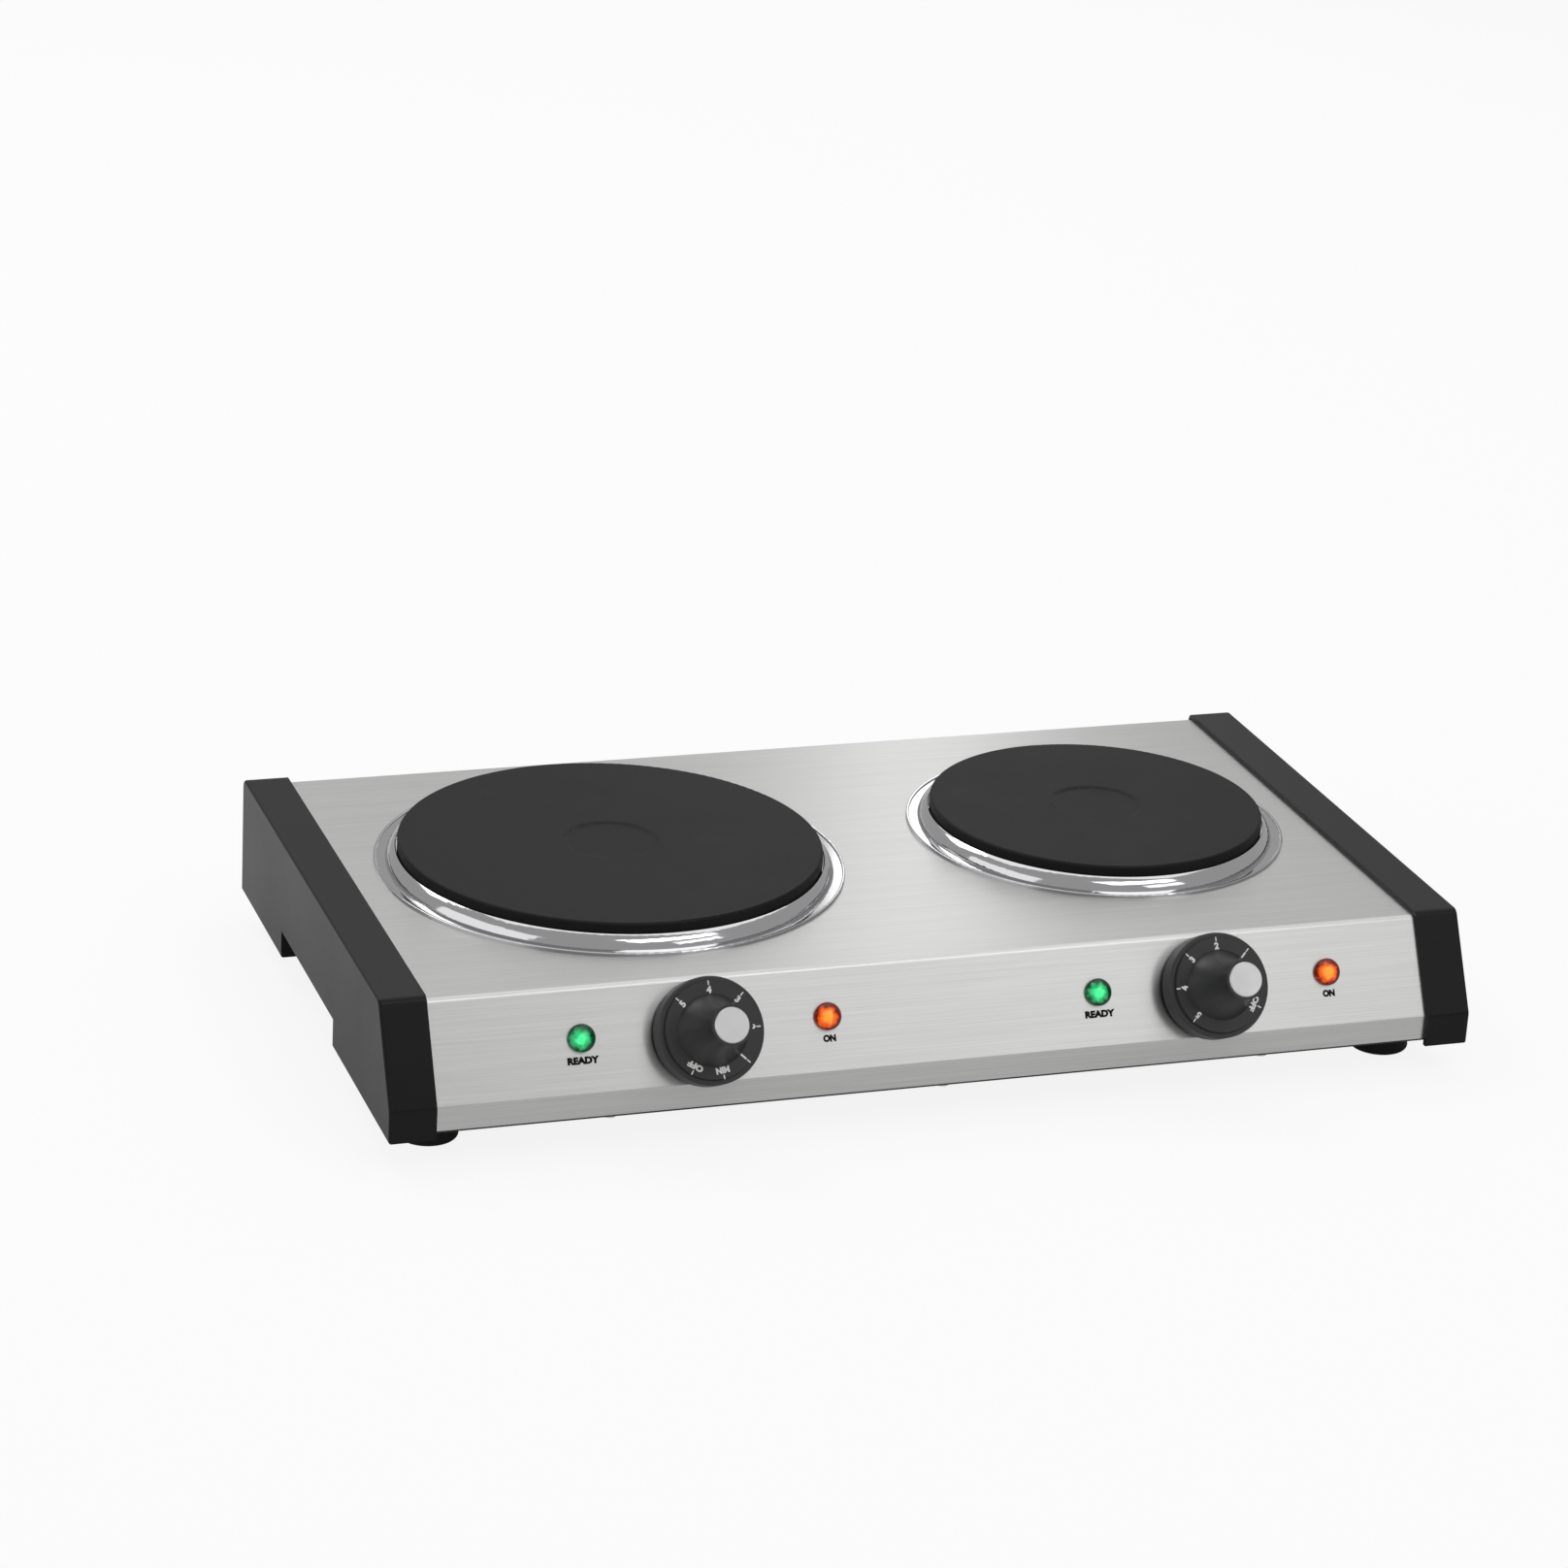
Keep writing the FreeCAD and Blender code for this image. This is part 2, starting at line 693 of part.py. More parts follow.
def screw(label, head_radius, head_height, shank_radius, seat, length):
    """A screw that points up, with its head under the given seat."""
    return turned(label, [
        ("0", f"{seat} - {head_height}"),
        (head_radius, f"{seat} - {head_height}"),
        (head_radius, seat),
        (shank_radius, seat),
        (shank_radius, f"{seat} + {length}"),
        ("0", f"{seat} + {length}"),
    ])


def tapper(label, length):
    return screw(label, "tapper_head_radius", "tapper_head_height", "tapper_radius", "foot_height", length)


def nut(label, flats, bore, height, low="0"):
    body = new_body(label)
    sketch = new_sketch(body, "XY_Plane", low)
    hexagon(sketch, flats)
    circle(sketch, "0", "0", bore)
    pad(body, sketch, height)
    return body


def build_fasteners():
    shell_rows = "shell_back - shell_lip"

    foot_screws = screw("foot_screws", "bolt_head_radius", "bolt_head_height", "bolt_radius",
                        "foot_sink_depth", "base_top + bolt_nut_height + bolt_spare - foot_sink_depth")
    foot_nuts = nut("foot_nuts", "bolt_nut_flats", "bolt_radius + thread_gap", "bolt_nut_height", "base_top")
    for group in (foot_screws, foot_nuts):
        place(group, "-foot_side", "shell_lip + foot_end_inset")
        repeat(group, "2 * foot_side", 2, f"{shell_rows} - 2 * foot_end_inset", 2)

    base_screws = tapper("base_screws", "tapper_length")
    place(base_screws, "-tapper_spread / 2", "shell_lip + flange_middle")
    repeat(base_screws, "tapper_spread", 3, f"{shell_rows} - 2 * flange_middle", 2)

    cap_screws = tapper("end_cap_screws", "tapper_length")
    place(cap_screws, "-post_side", "hold_line - post_spread / 2")
    repeat(cap_screws, "2 * post_side", 2, "post_spread", 2)

    block_screws = tapper("terminal_block_screws", "tapper_length")
    place(block_screws, "block_offset - block_screw_spread / 2", "block_front + block_depth / 2")
    repeat(block_screws, "block_screw_spread", 2)

    earth_screw = turned("earth_screw", [
        ("0", "foot_height"),
        ("bolt_radius", "foot_height"),
        ("bolt_radius", "base_top"),
        ("bolt_head_radius", "base_top"),
        ("bolt_head_radius", "base_top + bolt_head_height"),
        ("0", "base_top + bolt_head_height"),
    ])
    place(earth_screw, "block_offset", "block_front - earth_run")


# Burners

def pin_place(coil, sign):
    """Where a heating element's pin stands, from the burner's centre."""
    return f"{sign}{coil} * sin(coil_half_gap)", f"-{coil} * cos(coil_half_gap)"


def build_trim_ring(size, radius):
    """A pressed ring: beaded rim, flat flange, rolled rise to a crest, and a ledge for the plate."""
    rim = f"{radius} + ring_overhang"
    bead = f"{rim} - ring_bead_width"
    flange = f"{rim} - ring_flange"
    wall = f"{radius} + ring_gap"
    crest = f"{wall} + ring_crest"
    skirt = f"{radius} - ledge_width"
    ring = turned(f"{size}_trim_ring", [
        (rim, "shell_top"),
        (rim, "shell_top + ring_bead_rise"),
        (bead, "shell_top + ring_bead_rise"),
        (bead, "shell_top + ring_gauge"),
        (flange, "shell_top + ring_gauge", "ring_roll"),
        (crest, "crest_top"),
        (wall, "crest_top"),
        (wall, "ledge_top"),
        (skirt, "ledge_top"),
        (skirt, "shell_top - ring_skirt"),
        (f"{skirt} + ring_gauge", "shell_top - ring_skirt"),
        (f"{skirt} + ring_gauge", "ledge_top - ring_gauge"),
        (f"{wall} + ring_gauge", "ledge_top - ring_gauge"),
        (f"{wall} + ring_gauge", "crest_top - 2 * ring_gauge"),
        (f"{flange} - ring_gauge", "shell_top"),
    ])
    round_edges(ring, "ring_round", circles_at(
        (rim, "shell_top + ring_bead_rise"), (bead, "shell_top + ring_bead_rise"), (wall, "crest_top")))
    return ring


def build_hot_plate(size, radius):
    body_radius = f"{radius} - ledge_width - plate_skirt_gap"
    hollow = f"{body_radius} - plate_skirt_wall"
    return turned(f"{size}_hot_plate", [
        ("0", "plate_top - dish_depth"),
        ("0", "boss_ceiling"),
        ("stud_radius + thread_gap", "boss_ceiling"),
        ("stud_radius + thread_gap", "skirt_under"),
        ("boss_radius", "skirt_under"),
        ("boss_radius", "plate_under"),
        (hollow, "plate_under"),
        (hollow, "skirt_under"),
        (body_radius, "skirt_under"),
        (body_radius, "ledge_top"),
        (radius, "ledge_top"),
        (radius, "plate_top - plate_edge", "plate_edge"),
        (f"{radius} - plate_edge", "plate_top"),
        ("dish_radius", "plate_top"),
        ("dish_radius - 2 * dish_depth", "plate_top - dish_depth"),
    ])


def build_heating_element(size, offset, coil):
    """A sheathed tube bent to an open ring, with a pin at each end."""
    tube = doc.addObject("Part::Torus", f"{size}_element_tube")
    tube.setExpression("Radius1", formula(coil))
    tube.setExpression("Radius2", formula("coil_tube_radius"))
    tube.setExpression("Angle3", formula("360 - 2 * coil_half_gap"))
    tube.Placement = FreeCAD.Placement(FreeCAD.Vector(), FreeCAD.Rotation(FreeCAD.Vector(0, 0, -1), 45))
    tube.setExpression("Placement.Rotation.Angle", formula("90 - coil_half_gap"))
    place(tube, "0", "0", "coil_middle")
    shapes = [tube]
    for sign in ("-", ""):
        pin = doc.addObject("Part::Cylinder", f"{size}_element_pin")
        pin.setExpression("Radius", formula("pin_radius"))
        pin.setExpression("Height", formula("coil_middle - pin_under"))
        place(pin, *pin_place(coil, sign), "pin_under")
        shapes.append(pin)
    element = doc.addObject("Part::MultiFuse", f"{size}_heating_element")
    element.Label = f"{size}_heating_element"
    element.Shapes = shapes
    place(element, offset, "burner_line")
    pieces.append(element)


def drill_pin_holes(body, coil, radius, low, depth):
    holes = new_sketch(body, "XY_Plane", low)
    for sign in ("-", ""):
        circle(holes, *pin_place(coil, sign), radius)
    pocket(body, holes, depth, backwards=True)


def build_insulation_disc(size, radius, coil):
    hollow = f"{radius} - ledge_width - plate_skirt_gap - plate_skirt_wall"
    top = "coil_middle - coil_tube_radius - seat_gap"
    disc = turned(f"{size}_insulation_disc", [
        ("boss_radius + seat_gap", "skirt_under"),
        (f"{hollow} - seat_gap", "skirt_under"),
        (f"{hollow} - seat_gap", top),
        ("boss_radius + seat_gap", top),
    ])
    drill_pin_holes(disc, coil, "pin_radius + hole_clearance", "skirt_under", f"{top} - skirt_under")
    return disc


def build_heat_shield(size, radius, coil):
    rim = f"{radius} - ledge_width - plate_skirt_gap - shield_inset"
    shield = turned(f"{size}_heat_shield", [
        ("stud_radius + stud_clearance", "shield_under"),
        (rim, "shield_under"),
        (rim, "skirt_under"),
        ("stud_radius + stud_clearance", "skirt_under"),
    ])
    drill_pin_holes(shield, coil, "pin_radius + pin_clearance", "shield_under", "shield_gauge")
    return shield


def build_clamp_bridge(size, radius):
    """A strap across the burner's hole that bears up against the shell when its nut is tightened."""
    leg = f"({hole_radius(radius)} + bridge_standoff)"
    right = [
        (f"{leg} + bridge_gauge", "bridge_under"),
        (f"{leg} + bridge_gauge", "shell_inside - bridge_gauge"),
        (f"{leg} + bridge_foot", "shell_inside - bridge_gauge"),
        (f"{leg} + bridge_foot", "shell_inside"),
        (leg, "shell_inside"),
        (leg, "shield_under"),
    ]
    left = [(f"-({x})", z) for x, z in reversed(right)]
    body = new_body(f"{size}_clamp_bridge")
    section = new_sketch(body, "XZ_Plane")
    outline(section, right + left)
    pad(body, section, "bridge_width", both_ways=True)
    hole = new_sketch(body, "XY_Plane", "shield_under")
    circle(hole, "0", "0", "stud_radius + stud_clearance")
    pocket(body, hole, "bridge_gauge")
    return body


def build_plate_stud(size):
    return turned(f"{size}_plate_stud", [
        ("0", "stud_under"),
        ("stud_radius", "stud_under"),
        ("stud_radius", "boss_ceiling"),
        ("0", "boss_ceiling"),
    ])


def build_burners():
    for size, offset, radius, coil in (
        ("large", "-large_offset", "large_radius", "large_coil_radius"),
        ("small", "small_offset", "small_radius", "small_coil_radius"),
    ):
        stack = [
            build_trim_ring(size, radius),
            build_hot_plate(size, radius),
            build_insulation_disc(size, radius, coil),
            build_heat_shield(size, radius, coil),
            build_clamp_bridge(size, radius),
            build_plate_stud(size),
        ]
        for piece in stack:
            place(piece, offset, "burner_line")
        build_heating_element(size, offset, coil)

    washers = turned("plate_washers", [
        ("stud_radius + stud_clearance", "washer_under"),
        ("washer_radius", "washer_under"),
        ("washer_radius", "bridge_under"),
        ("stud_radius + stud_clearance", "bridge_under"),
    ])
    nuts = nut("plate_nuts", "plate_nut_flats", "stud_radius + thread_gap",
               "plate_nut_height", "plate_nut_under")
    for group in (washers, nuts):
        place(group, "-large_offset", "burner_line")
        repeat(group, "large_offset + small_offset", 2)


# Controls on the sloped panel

def build_thermostat(hand):
    body = new_body(f"{hand}_thermostat")
    block = new_sketch(body, "XY_Plane", "thermostat_back")
    half = "thermostat_width / 2"
    tall = "thermostat_height / 2"
    rectangle(block, f"-{half}", half, f"-{tall}", tall)
    pad(body, block, "thermostat_depth")
    tabs = new_sketch(body, "XY_Plane", "tab_back")
    for side in ("-tab_spread / 2", "tab_spread / 2"):
        rectangle(tabs, f"{side} - tab_width / 2", f"{side} + tab_width / 2",
                  "-tab_gauge / 2", "tab_gauge / 2")
    pad(body, tabs, "tab_length")
    bore = new_sketch(body, "XY_Plane", "bushing_back")
    circle(bore, "0", "0", "shaft_radius + hole_clearance")
    pocket(body, bore, "shaft_tail + end_play")
    return body


def build_bushing(hand):
    bore = "shaft_radius + running_gap"
    return turned(f"{hand}_shaft_bushing", [
        (bore, "bushing_back"),
        ("bushing_flange", "bushing_back"),
        ("bushing_flange", "-shell_gauge"),
        ("bushing_radius", "-shell_gauge"),
        ("bushing_radius", "bushing_nose"),
        (bore, "bushing_nose"),
    ])


def build_shaft(hand):
    shaft = turned(f"{hand}_control_shaft", [
        ("0", "shaft_back"),
        ("shaft_radius", "shaft_back"),
        ("shaft_radius", "shaft_nose"),
        ("0", "shaft_nose"),
    ])
    flat = new_sketch(shaft, "XY_Plane", "flat_start")
    rectangle(flat, "-2 * shaft_radius", "2 * shaft_radius", "flat_offset", "2 * shaft_radius")
    pocket(shaft, flat, "shaft_nose - flat_start", backwards=True)
    return shaft


def build_knob(hand):
    """A hollow skirted dial whose hub sweeps in to a round tip, with a flat in its bore."""
    cap_seat = "knob_tip - knob_cap_sink"
    ceiling = "skirt_front - knob_wall"
    knob = turned(f"{hand}_knob", [
        ("knob_bore", "knob_boss_back"),
        ("knob_boss_radius", "knob_boss_back"),
        ("knob_boss_radius", ceiling),
        ("knob_radius - knob_wall", ceiling),
        ("knob_radius - knob_wall", "knob_gap"),
        ("knob_radius", "knob_gap"),
        ("knob_radius", "skirt_front - skirt_chamfer"),
        ("knob_radius - skirt_chamfer", "skirt_front"),
        ("dial_radius", "skirt_front"),
        ("dial_radius - skirt_chamfer", "dial_front"),
        ("hub_radius", "dial_front", "-hub_hollow"),
        ("tip_radius", "knob_tip"),
        ("knob_cap_radius + running_gap", "knob_tip"),
        ("knob_cap_radius + running_gap", cap_seat),
        ("0", cap_seat),
        ("0", "shaft_nose"),
        ("knob_bore", "shaft_nose"),
    ])
    flat = new_sketch(knob, "XY_Plane", "flat_start + end_play")
    rectangle(flat, "-knob_bore", "knob_bore",
              "flat_offset + running_gap", "knob_boss_radius - knob_wall / 2")
    pad(knob, flat, "shaft_nose - flat_start")
    return knob


def build_knob_cap(hand):
    return turned(f"{hand}_knob_cap", [
        ("0", "knob_tip - knob_cap_sink"),
        ("knob_cap_radius", "knob_tip - knob_cap_sink"),
        ("knob_cap_radius", "knob_tip"),
        ("knob_cap_radius - knob_cap_crown", "knob_tip + knob_cap_crown"),
        ("0", "knob_tip + knob_cap_crown"),
    ])


def build_controls():
    for hand, offset in (("left", "-left_knob_offset"), ("right", "right_knob_offset")):
        stack = [
            build_thermostat(hand),
            build_bushing(hand),
            build_shaft(hand),
            build_knob(hand),
            build_knob_cap(hand),
        ]
        for piece in stack:
            place_on_panel(piece, offset, "knob_up")
    nuts = nut("bushing_nuts", "bushing_nut_flats", "bushing_radius + thread_gap", "bushing_nut_height")
    place_on_panel(nuts, "-left_knob_offset", "knob_up")
    repeat(nuts, "knob_spacing", 2)


# Pilot lamps

def repeat_at_lamps(body):
    """Copy a body's last feature from the first lamp to all four."""
    place_on_panel(body, "left_ready", "lamp_up")
    pattern = repeat(body, "lamp_spread", 2, "burner_spacing", 2)
    pattern.Direction2 = (origin_part(body, "X_Axis"), [""])
    doc.recompute()


def build_lamps():
    dome = "(lens_radius ^ 2 + (lens_rise - lens_band) ^ 2) / (2 * (lens_rise - lens_band))"
    for lamp in ("left_ready", "left_on", "right_ready", "right_on"):
        lens = turned(f"{lamp}_lens", [
            ("lens_bore", "-lens_depth"),
            ("lens_neck", "-lens_depth"),
            ("lens_neck", "0"),
            ("lens_radius", "0"),
            ("lens_radius", "lens_band", dome),
            ("0", "lens_rise"),
            ("0", "lens_crown"),
            ("lens_bore", "lens_crown"),
        ])
        place_on_panel(lens, lamp, "lamp_up")
    clips = turned("lens_clips", [
        ("lens_neck + thread_gap", "-shell_gauge - clip_gauge"),
        ("clip_radius", "-shell_gauge - clip_gauge"),
        ("clip_radius", "-shell_gauge"),
        ("lens_neck + thread_gap", "-shell_gauge"),
    ])
    repeat_at_lamps(clips)
    bulb = "lens_bore - neon_gap"
    bulb_end = "lens_crown - neon_gap"
    neons = turned("neon_lamps", [
        ("0", "-lens_depth - neon_collar"),
        ("lens_neck", "-lens_depth - neon_collar"),
        ("lens_neck", "-lens_depth"),
        (bulb, "-lens_depth"),
        (bulb, f"{bulb_end} - ({bulb})", bulb),
        ("0", bulb_end),
    ])
    repeat_at_lamps(neons)


# Mains side

def build_terminal_block():
    body = new_body("terminal_block")
    section = new_sketch(body, "YZ_Plane", "block_offset")
    outline(section, [
        ("block_front", "base_top"),
        ("block_front + block_depth", "base_top"),
        ("block_front + block_depth", "base_top + block_height - block_step"),
        ("block_front + block_depth - block_step", "base_top + block_height"),
        ("block_front", "base_top + block_height"),
    ])
    pad(body, section, "block_width", both_ways=True)
    pilots = new_sketch(body, "XY_Plane", "base_top")
    for side in ("block_offset - block_screw_spread / 2", "block_offset + block_screw_spread / 2"):
        circle(pilots, side, "block_front + block_depth / 2", "tapper_radius + thread_gap")
    pocket(body, pilots, "tapper_length", backwards=True)


def build_gland():
    gland = turned("cord_gland", [
        ("gland_bore", "gland_flange_gauge - gland_length"),
        ("gland_radius", "gland_flange_gauge - gland_length"),
        ("gland_radius", "0"),
        ("gland_flange", "0"),
        ("gland_flange", "gland_flange_gauge"),
        ("gland_bore", "gland_flange_gauge"),
    ])
    gland_nut = nut("gland_nut", "gland_nut_flats", "gland_radius + thread_gap", "gland_nut_height",
                    "-shell_gauge - gland_nut_height")
    facing_back = FreeCAD.Rotation(FreeCAD.Vector(1, 0, 0), -90)
    for piece in (gland, gland_nut):
        piece.Placement = FreeCAD.Placement(FreeCAD.Vector(), facing_back)
        place(piece, "block_offset", "shell_back", "gland_height")


# Inner leads

def lead(label, stops):
    """A round lead along straight runs joined by tangent arcs of one radius."""
    points = [FreeCAD.Vector(*(value(text) for text in stop)) for stop in stops]
    bend = value("lead_bend")
    radius = value("lead_radius")
    edges = []
    length = 0.0
    start = points[0]
    for before, corner, after in zip(points, points[1:], points[2:]):
        coming = (before - corner).normalize()
        going = (after - corner).normalize()
        half = coming.getAngle(going) / 2
        reach = bend / math.tan(half)
        middle = (coming + going).normalize()
        centre = corner + middle * (bend / math.sin(half))
        entry = corner + coming * reach
        leave = corner + going * reach
        edges.append(Part.LineSegment(start, entry).toShape())
        edges.append(Part.Arc(entry, centre - middle * bend, leave).toShape())
        length += (entry - start).Length + bend * (math.pi - 2 * half)
        start = leave
    edges.append(Part.LineSegment(start, points[-1]).toShape())
    length += (points[-1] - start).Length
    path = Part.Wire(edges)
    section = Part.Wire([Part.makeCircle(radius, points[0], points[1] - points[0])])
    shape = path.makePipeShell([section], True, False)
    if abs(shape.Volume / (math.pi * radius ** 2 * length) - 1) > 0.01:
        raise RuntimeError(f"{label}: the tube's volume is wrong")
    piece = doc.addObject("Part::Feature", label)
    piece.Label = label
    piece.Shape = shape
    piece.Placement = FreeCAD.Placement()
    pieces.append(piece)


def panel_point(x, up, out):
    """A place given along the panel, up its slope and out from its face."""
    return (
        x,
        f"shell_lip + {up} * sin(panel_lean) - ({out}) * cos(panel_lean)",
        f"lip_top + {up} * cos(panel_lean) + ({out}) * sin(panel_lean)",
    )


def build_leads():
    controls = (
        ("left", "-left_knob_offset", "-large_offset", "large_coil_radius", "-", ""),
        ("right", "right_knob_offset", "small_offset", "small_coil_radius", "", "-"),
    )
    lead_end = "tab_back - lead_lead_out"
    for hand, knob, burner, coil, outer, inner in controls:
        outer_tab = f"{knob} + ({outer}tab_spread / 2)"
        inner_tab = f"{knob} + ({inner}tab_spread / 2)"
        outer_pin_x, pin_y = pin_place(coil, outer)
        inner_pin_x, pin_y = pin_place(coil, inner)
        outer_pin = (f"{burner} + ({outer_pin_x})", f"burner_line + ({pin_y})")
        inner_pin = (f"{burner} + ({inner_pin_x})", f"burner_line + ({pin_y})")
        port_sign = "-" if hand == "left" else ""
        live_port = f"block_offset + ({port_sign}2 * port_pitch)"
        neutral_port = f"block_offset + ({port_sign}port_pitch)"
        turn_y = panel_point("0", "knob_up", lead_end)[1]
        lead(f"{hand}_switched_lead", [
            panel_point(outer_tab, "knob_up", "tab_back"),
            panel_point(outer_tab, "knob_up", lead_end),
            (*outer_pin, "neutral_level"),
            (*outer_pin, "pin_under"),
        ])
        lead(f"{hand}_live_lead", [
            panel_point(inner_tab, "knob_up", "tab_back"),
            panel_point(inner_tab, "knob_up", lead_end),
            (live_port, f"{turn_y} + lead_lead_out", "live_level"),
            (live_port, "block_front", "live_level"),
        ])
        lead(f"{hand}_neutral_lead", [
            (*inner_pin, "pin_under"),
            (*inner_pin, "neutral_level"),
            (neutral_port, "block_front - earth_run", "neutral_level"),
            (neutral_port, "block_front", "neutral_level"),
        ])
    screw_y = "block_front - earth_run"
    lead("earth_lead", [
        ("block_offset", "block_front", "earth_level"),
        ("block_offset", screw_y, "earth_level"),
        ("block_offset", screw_y, "base_top + bolt_head_height"),
    ])


def check_pieces():
    """Stop if anything failed to compute or came out empty or broken."""
    for item in doc.Objects:
        if "Invalid" in item.State or "Error" in item.State:
            raise RuntimeError(f"{item.Label} failed: {item.State}")
    for piece in pieces:
        if piece.Shape.isNull() or not piece.Shape.isValid() or not piece.Shape.Solids:
            raise RuntimeError(f"{piece.Label} has no sound solid")


def write_pieces():
    os.makedirs("parts", exist_ok=True)
    for piece in pieces:
        piece.Shape.exportStep(f"parts/{piece.Label}.step")
        print(f"{piece.Label}: {len(piece.Shape.Solids)} solid(s), {piece.Shape.Volume:.1f} mm3")


build_shell()
build_end_caps()
build_base_plate()
build_feet()
build_fasteners()
build_burners()
build_controls()
build_lamps()
build_terminal_block()
build_gland()
build_leads()
doc.recompute()
check_pieces()
write_pieces()
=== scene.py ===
"""The looks of a countertop hot plate with two cast-iron plates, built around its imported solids.

Lengths are millimetres where MM turns them into metres, and metres elsewhere. The pitch of a noise says
how many of its clouds lie in a metre. X runs along the front, Y towards the back and Z up, with z = 0 on
the table.
"""

import json
import logging
import math
from abc import ABC, abstractmethod
from dataclasses import dataclass
from enum import Enum
from typing import Any, Optional, Sequence, Union

import bmesh
import bpy
from mathutils import Matrix, Vector


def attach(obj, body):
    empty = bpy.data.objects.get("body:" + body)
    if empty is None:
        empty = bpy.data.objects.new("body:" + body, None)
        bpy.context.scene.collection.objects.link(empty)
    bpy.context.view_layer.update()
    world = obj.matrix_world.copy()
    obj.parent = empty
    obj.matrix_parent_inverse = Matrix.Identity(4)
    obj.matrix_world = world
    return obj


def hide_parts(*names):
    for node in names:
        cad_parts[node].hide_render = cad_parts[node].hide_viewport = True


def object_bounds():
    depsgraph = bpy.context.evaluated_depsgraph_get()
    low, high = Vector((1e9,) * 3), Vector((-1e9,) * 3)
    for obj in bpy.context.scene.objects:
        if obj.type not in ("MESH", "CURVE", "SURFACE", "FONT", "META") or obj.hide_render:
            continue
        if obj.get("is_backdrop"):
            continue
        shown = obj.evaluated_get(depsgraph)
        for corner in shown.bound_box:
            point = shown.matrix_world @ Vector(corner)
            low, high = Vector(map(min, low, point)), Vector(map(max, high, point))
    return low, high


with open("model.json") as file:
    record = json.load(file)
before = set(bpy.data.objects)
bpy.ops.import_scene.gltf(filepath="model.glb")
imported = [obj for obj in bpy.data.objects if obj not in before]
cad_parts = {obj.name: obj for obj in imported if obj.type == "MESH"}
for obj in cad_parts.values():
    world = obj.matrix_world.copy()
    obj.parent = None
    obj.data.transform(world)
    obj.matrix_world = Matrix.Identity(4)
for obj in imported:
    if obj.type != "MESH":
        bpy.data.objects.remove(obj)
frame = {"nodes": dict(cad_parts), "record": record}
solid_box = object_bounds()

log = logging.getLogger("hot_plate")
MM = 0.001
MERGE_DISTANCE = 2e-6
SLIVER_LENGTH = 1e-7
CRISP_ANGLE = 38.0
FLAT_FACE_WEIGHT = 100
CLOUD_DETAIL = 3.0
FULL_TURN = 360.0

Colour = tuple[float, float, float]
Point = tuple[float, float, float]
Span = tuple[float, float]
Number = Union[float, "Value"]


class Body(Enum):
    """The bodies that pieces move with."""

    CHASSIS = "chassis"
    LEFT = "left_control"
    RIGHT = "right_control"


class Slot(Enum):
    """The material slots of the part."""

    BRUSHED_STEEL = "brushed_steel"
    CAP_PLASTIC = "cap_plastic"
    BASE_STEEL = "base_steel"
    CHROME = "chrome"
    CAST_IRON = "cast_iron"
    FOOT_RUBBER = "foot_rubber"
    KNOB_PLASTIC = "knob_plastic"
    KNOB_METAL = "knob_metal"
    LENS_GREEN = "lens_green"
    LENS_AMBER = "lens_amber"
    ZINC_STEEL = "zinc_steel"
    SHEATH_STEEL = "sheath_steel"
    FIBRE_BOARD = "fibre_board"
    MOULDED_BROWN = "moulded_brown"
    BRASS = "brass"
    BLOCK_PLASTIC = "block_plastic"
    GLAND_PLASTIC = "gland_plastic"
    NEON_GLASS = "neon_glass"
    LEAD_BLACK = "lead_black"
    LEAD_WHITE = "lead_white"
    LEAD_GREEN = "lead_green"


# Nodes

class Value:
    """A number in a tree of nodes, which takes part in sums as a Python number does."""

    def __init__(self, maker: "NodeMaker", socket: bpy.types.NodeSocket) -> None:
        """Wrap an output socket that carries a number."""
        self.maker = maker
        self.socket = socket

    def _maths(self, operation: str, first: Number, second: Number = 0.0) -> "Value":
        """Add a Math node on two numbers and wrap what it gives."""
        node = self.maker.node("ShaderNodeMath", {"operation": operation}, {0: first, 1: second})
        return Value(self.maker, node.outputs[0])

    def __add__(self, other: Number) -> "Value":
        """This number plus another."""
        return self._maths("ADD", self, other)

    __radd__ = __add__

    def __sub__(self, other: Number) -> "Value":
        """This number less another."""
        return self._maths("SUBTRACT", self, other)

    def __rsub__(self, other: Number) -> "Value":
        """Another number less this one."""
        return self._maths("SUBTRACT", other, self)

    def __mul__(self, other: Number) -> "Value":
        """This number times another."""
        return self._maths("MULTIPLY", self, other)

    __rmul__ = __mul__

    def __truediv__(self, other: Number) -> "Value":
        """This number divided by another."""
        return self._maths("DIVIDE", self, other)

    def __rtruediv__(self, other: Number) -> "Value":
        """Another number divided by this one."""
        return self._maths("DIVIDE", other, self)

    def __pow__(self, other: Number) -> "Value":
        """This number to a power."""
        return self._maths("POWER", self, other)

    def __rpow__(self, other: Number) -> "Value":
        """Another number to the power of this one."""
        return self._maths("POWER", other, self)

    def sine(self) -> "Value":
        """The sine of this number."""
        return self._maths("SINE", self)

    def cosine(self) -> "Value":
        """The cosine of this number."""
        return self._maths("COSINE", self)

    def ramp(self, low: float, high: float) -> "Value":
        """A smooth climb from 0 to 1.

        Args:
            low: the number at which the climb starts.
            high: the number at which it ends.

        Returns:
            The climb's height.
        """
        node = self.maker.node("ShaderNodeMapRange", {"interpolation_type": "SMOOTHSTEP"},
                               {"Value": self, "From Min": low, "From Max": high})
        return Value(self.maker, node.outputs["Result"])


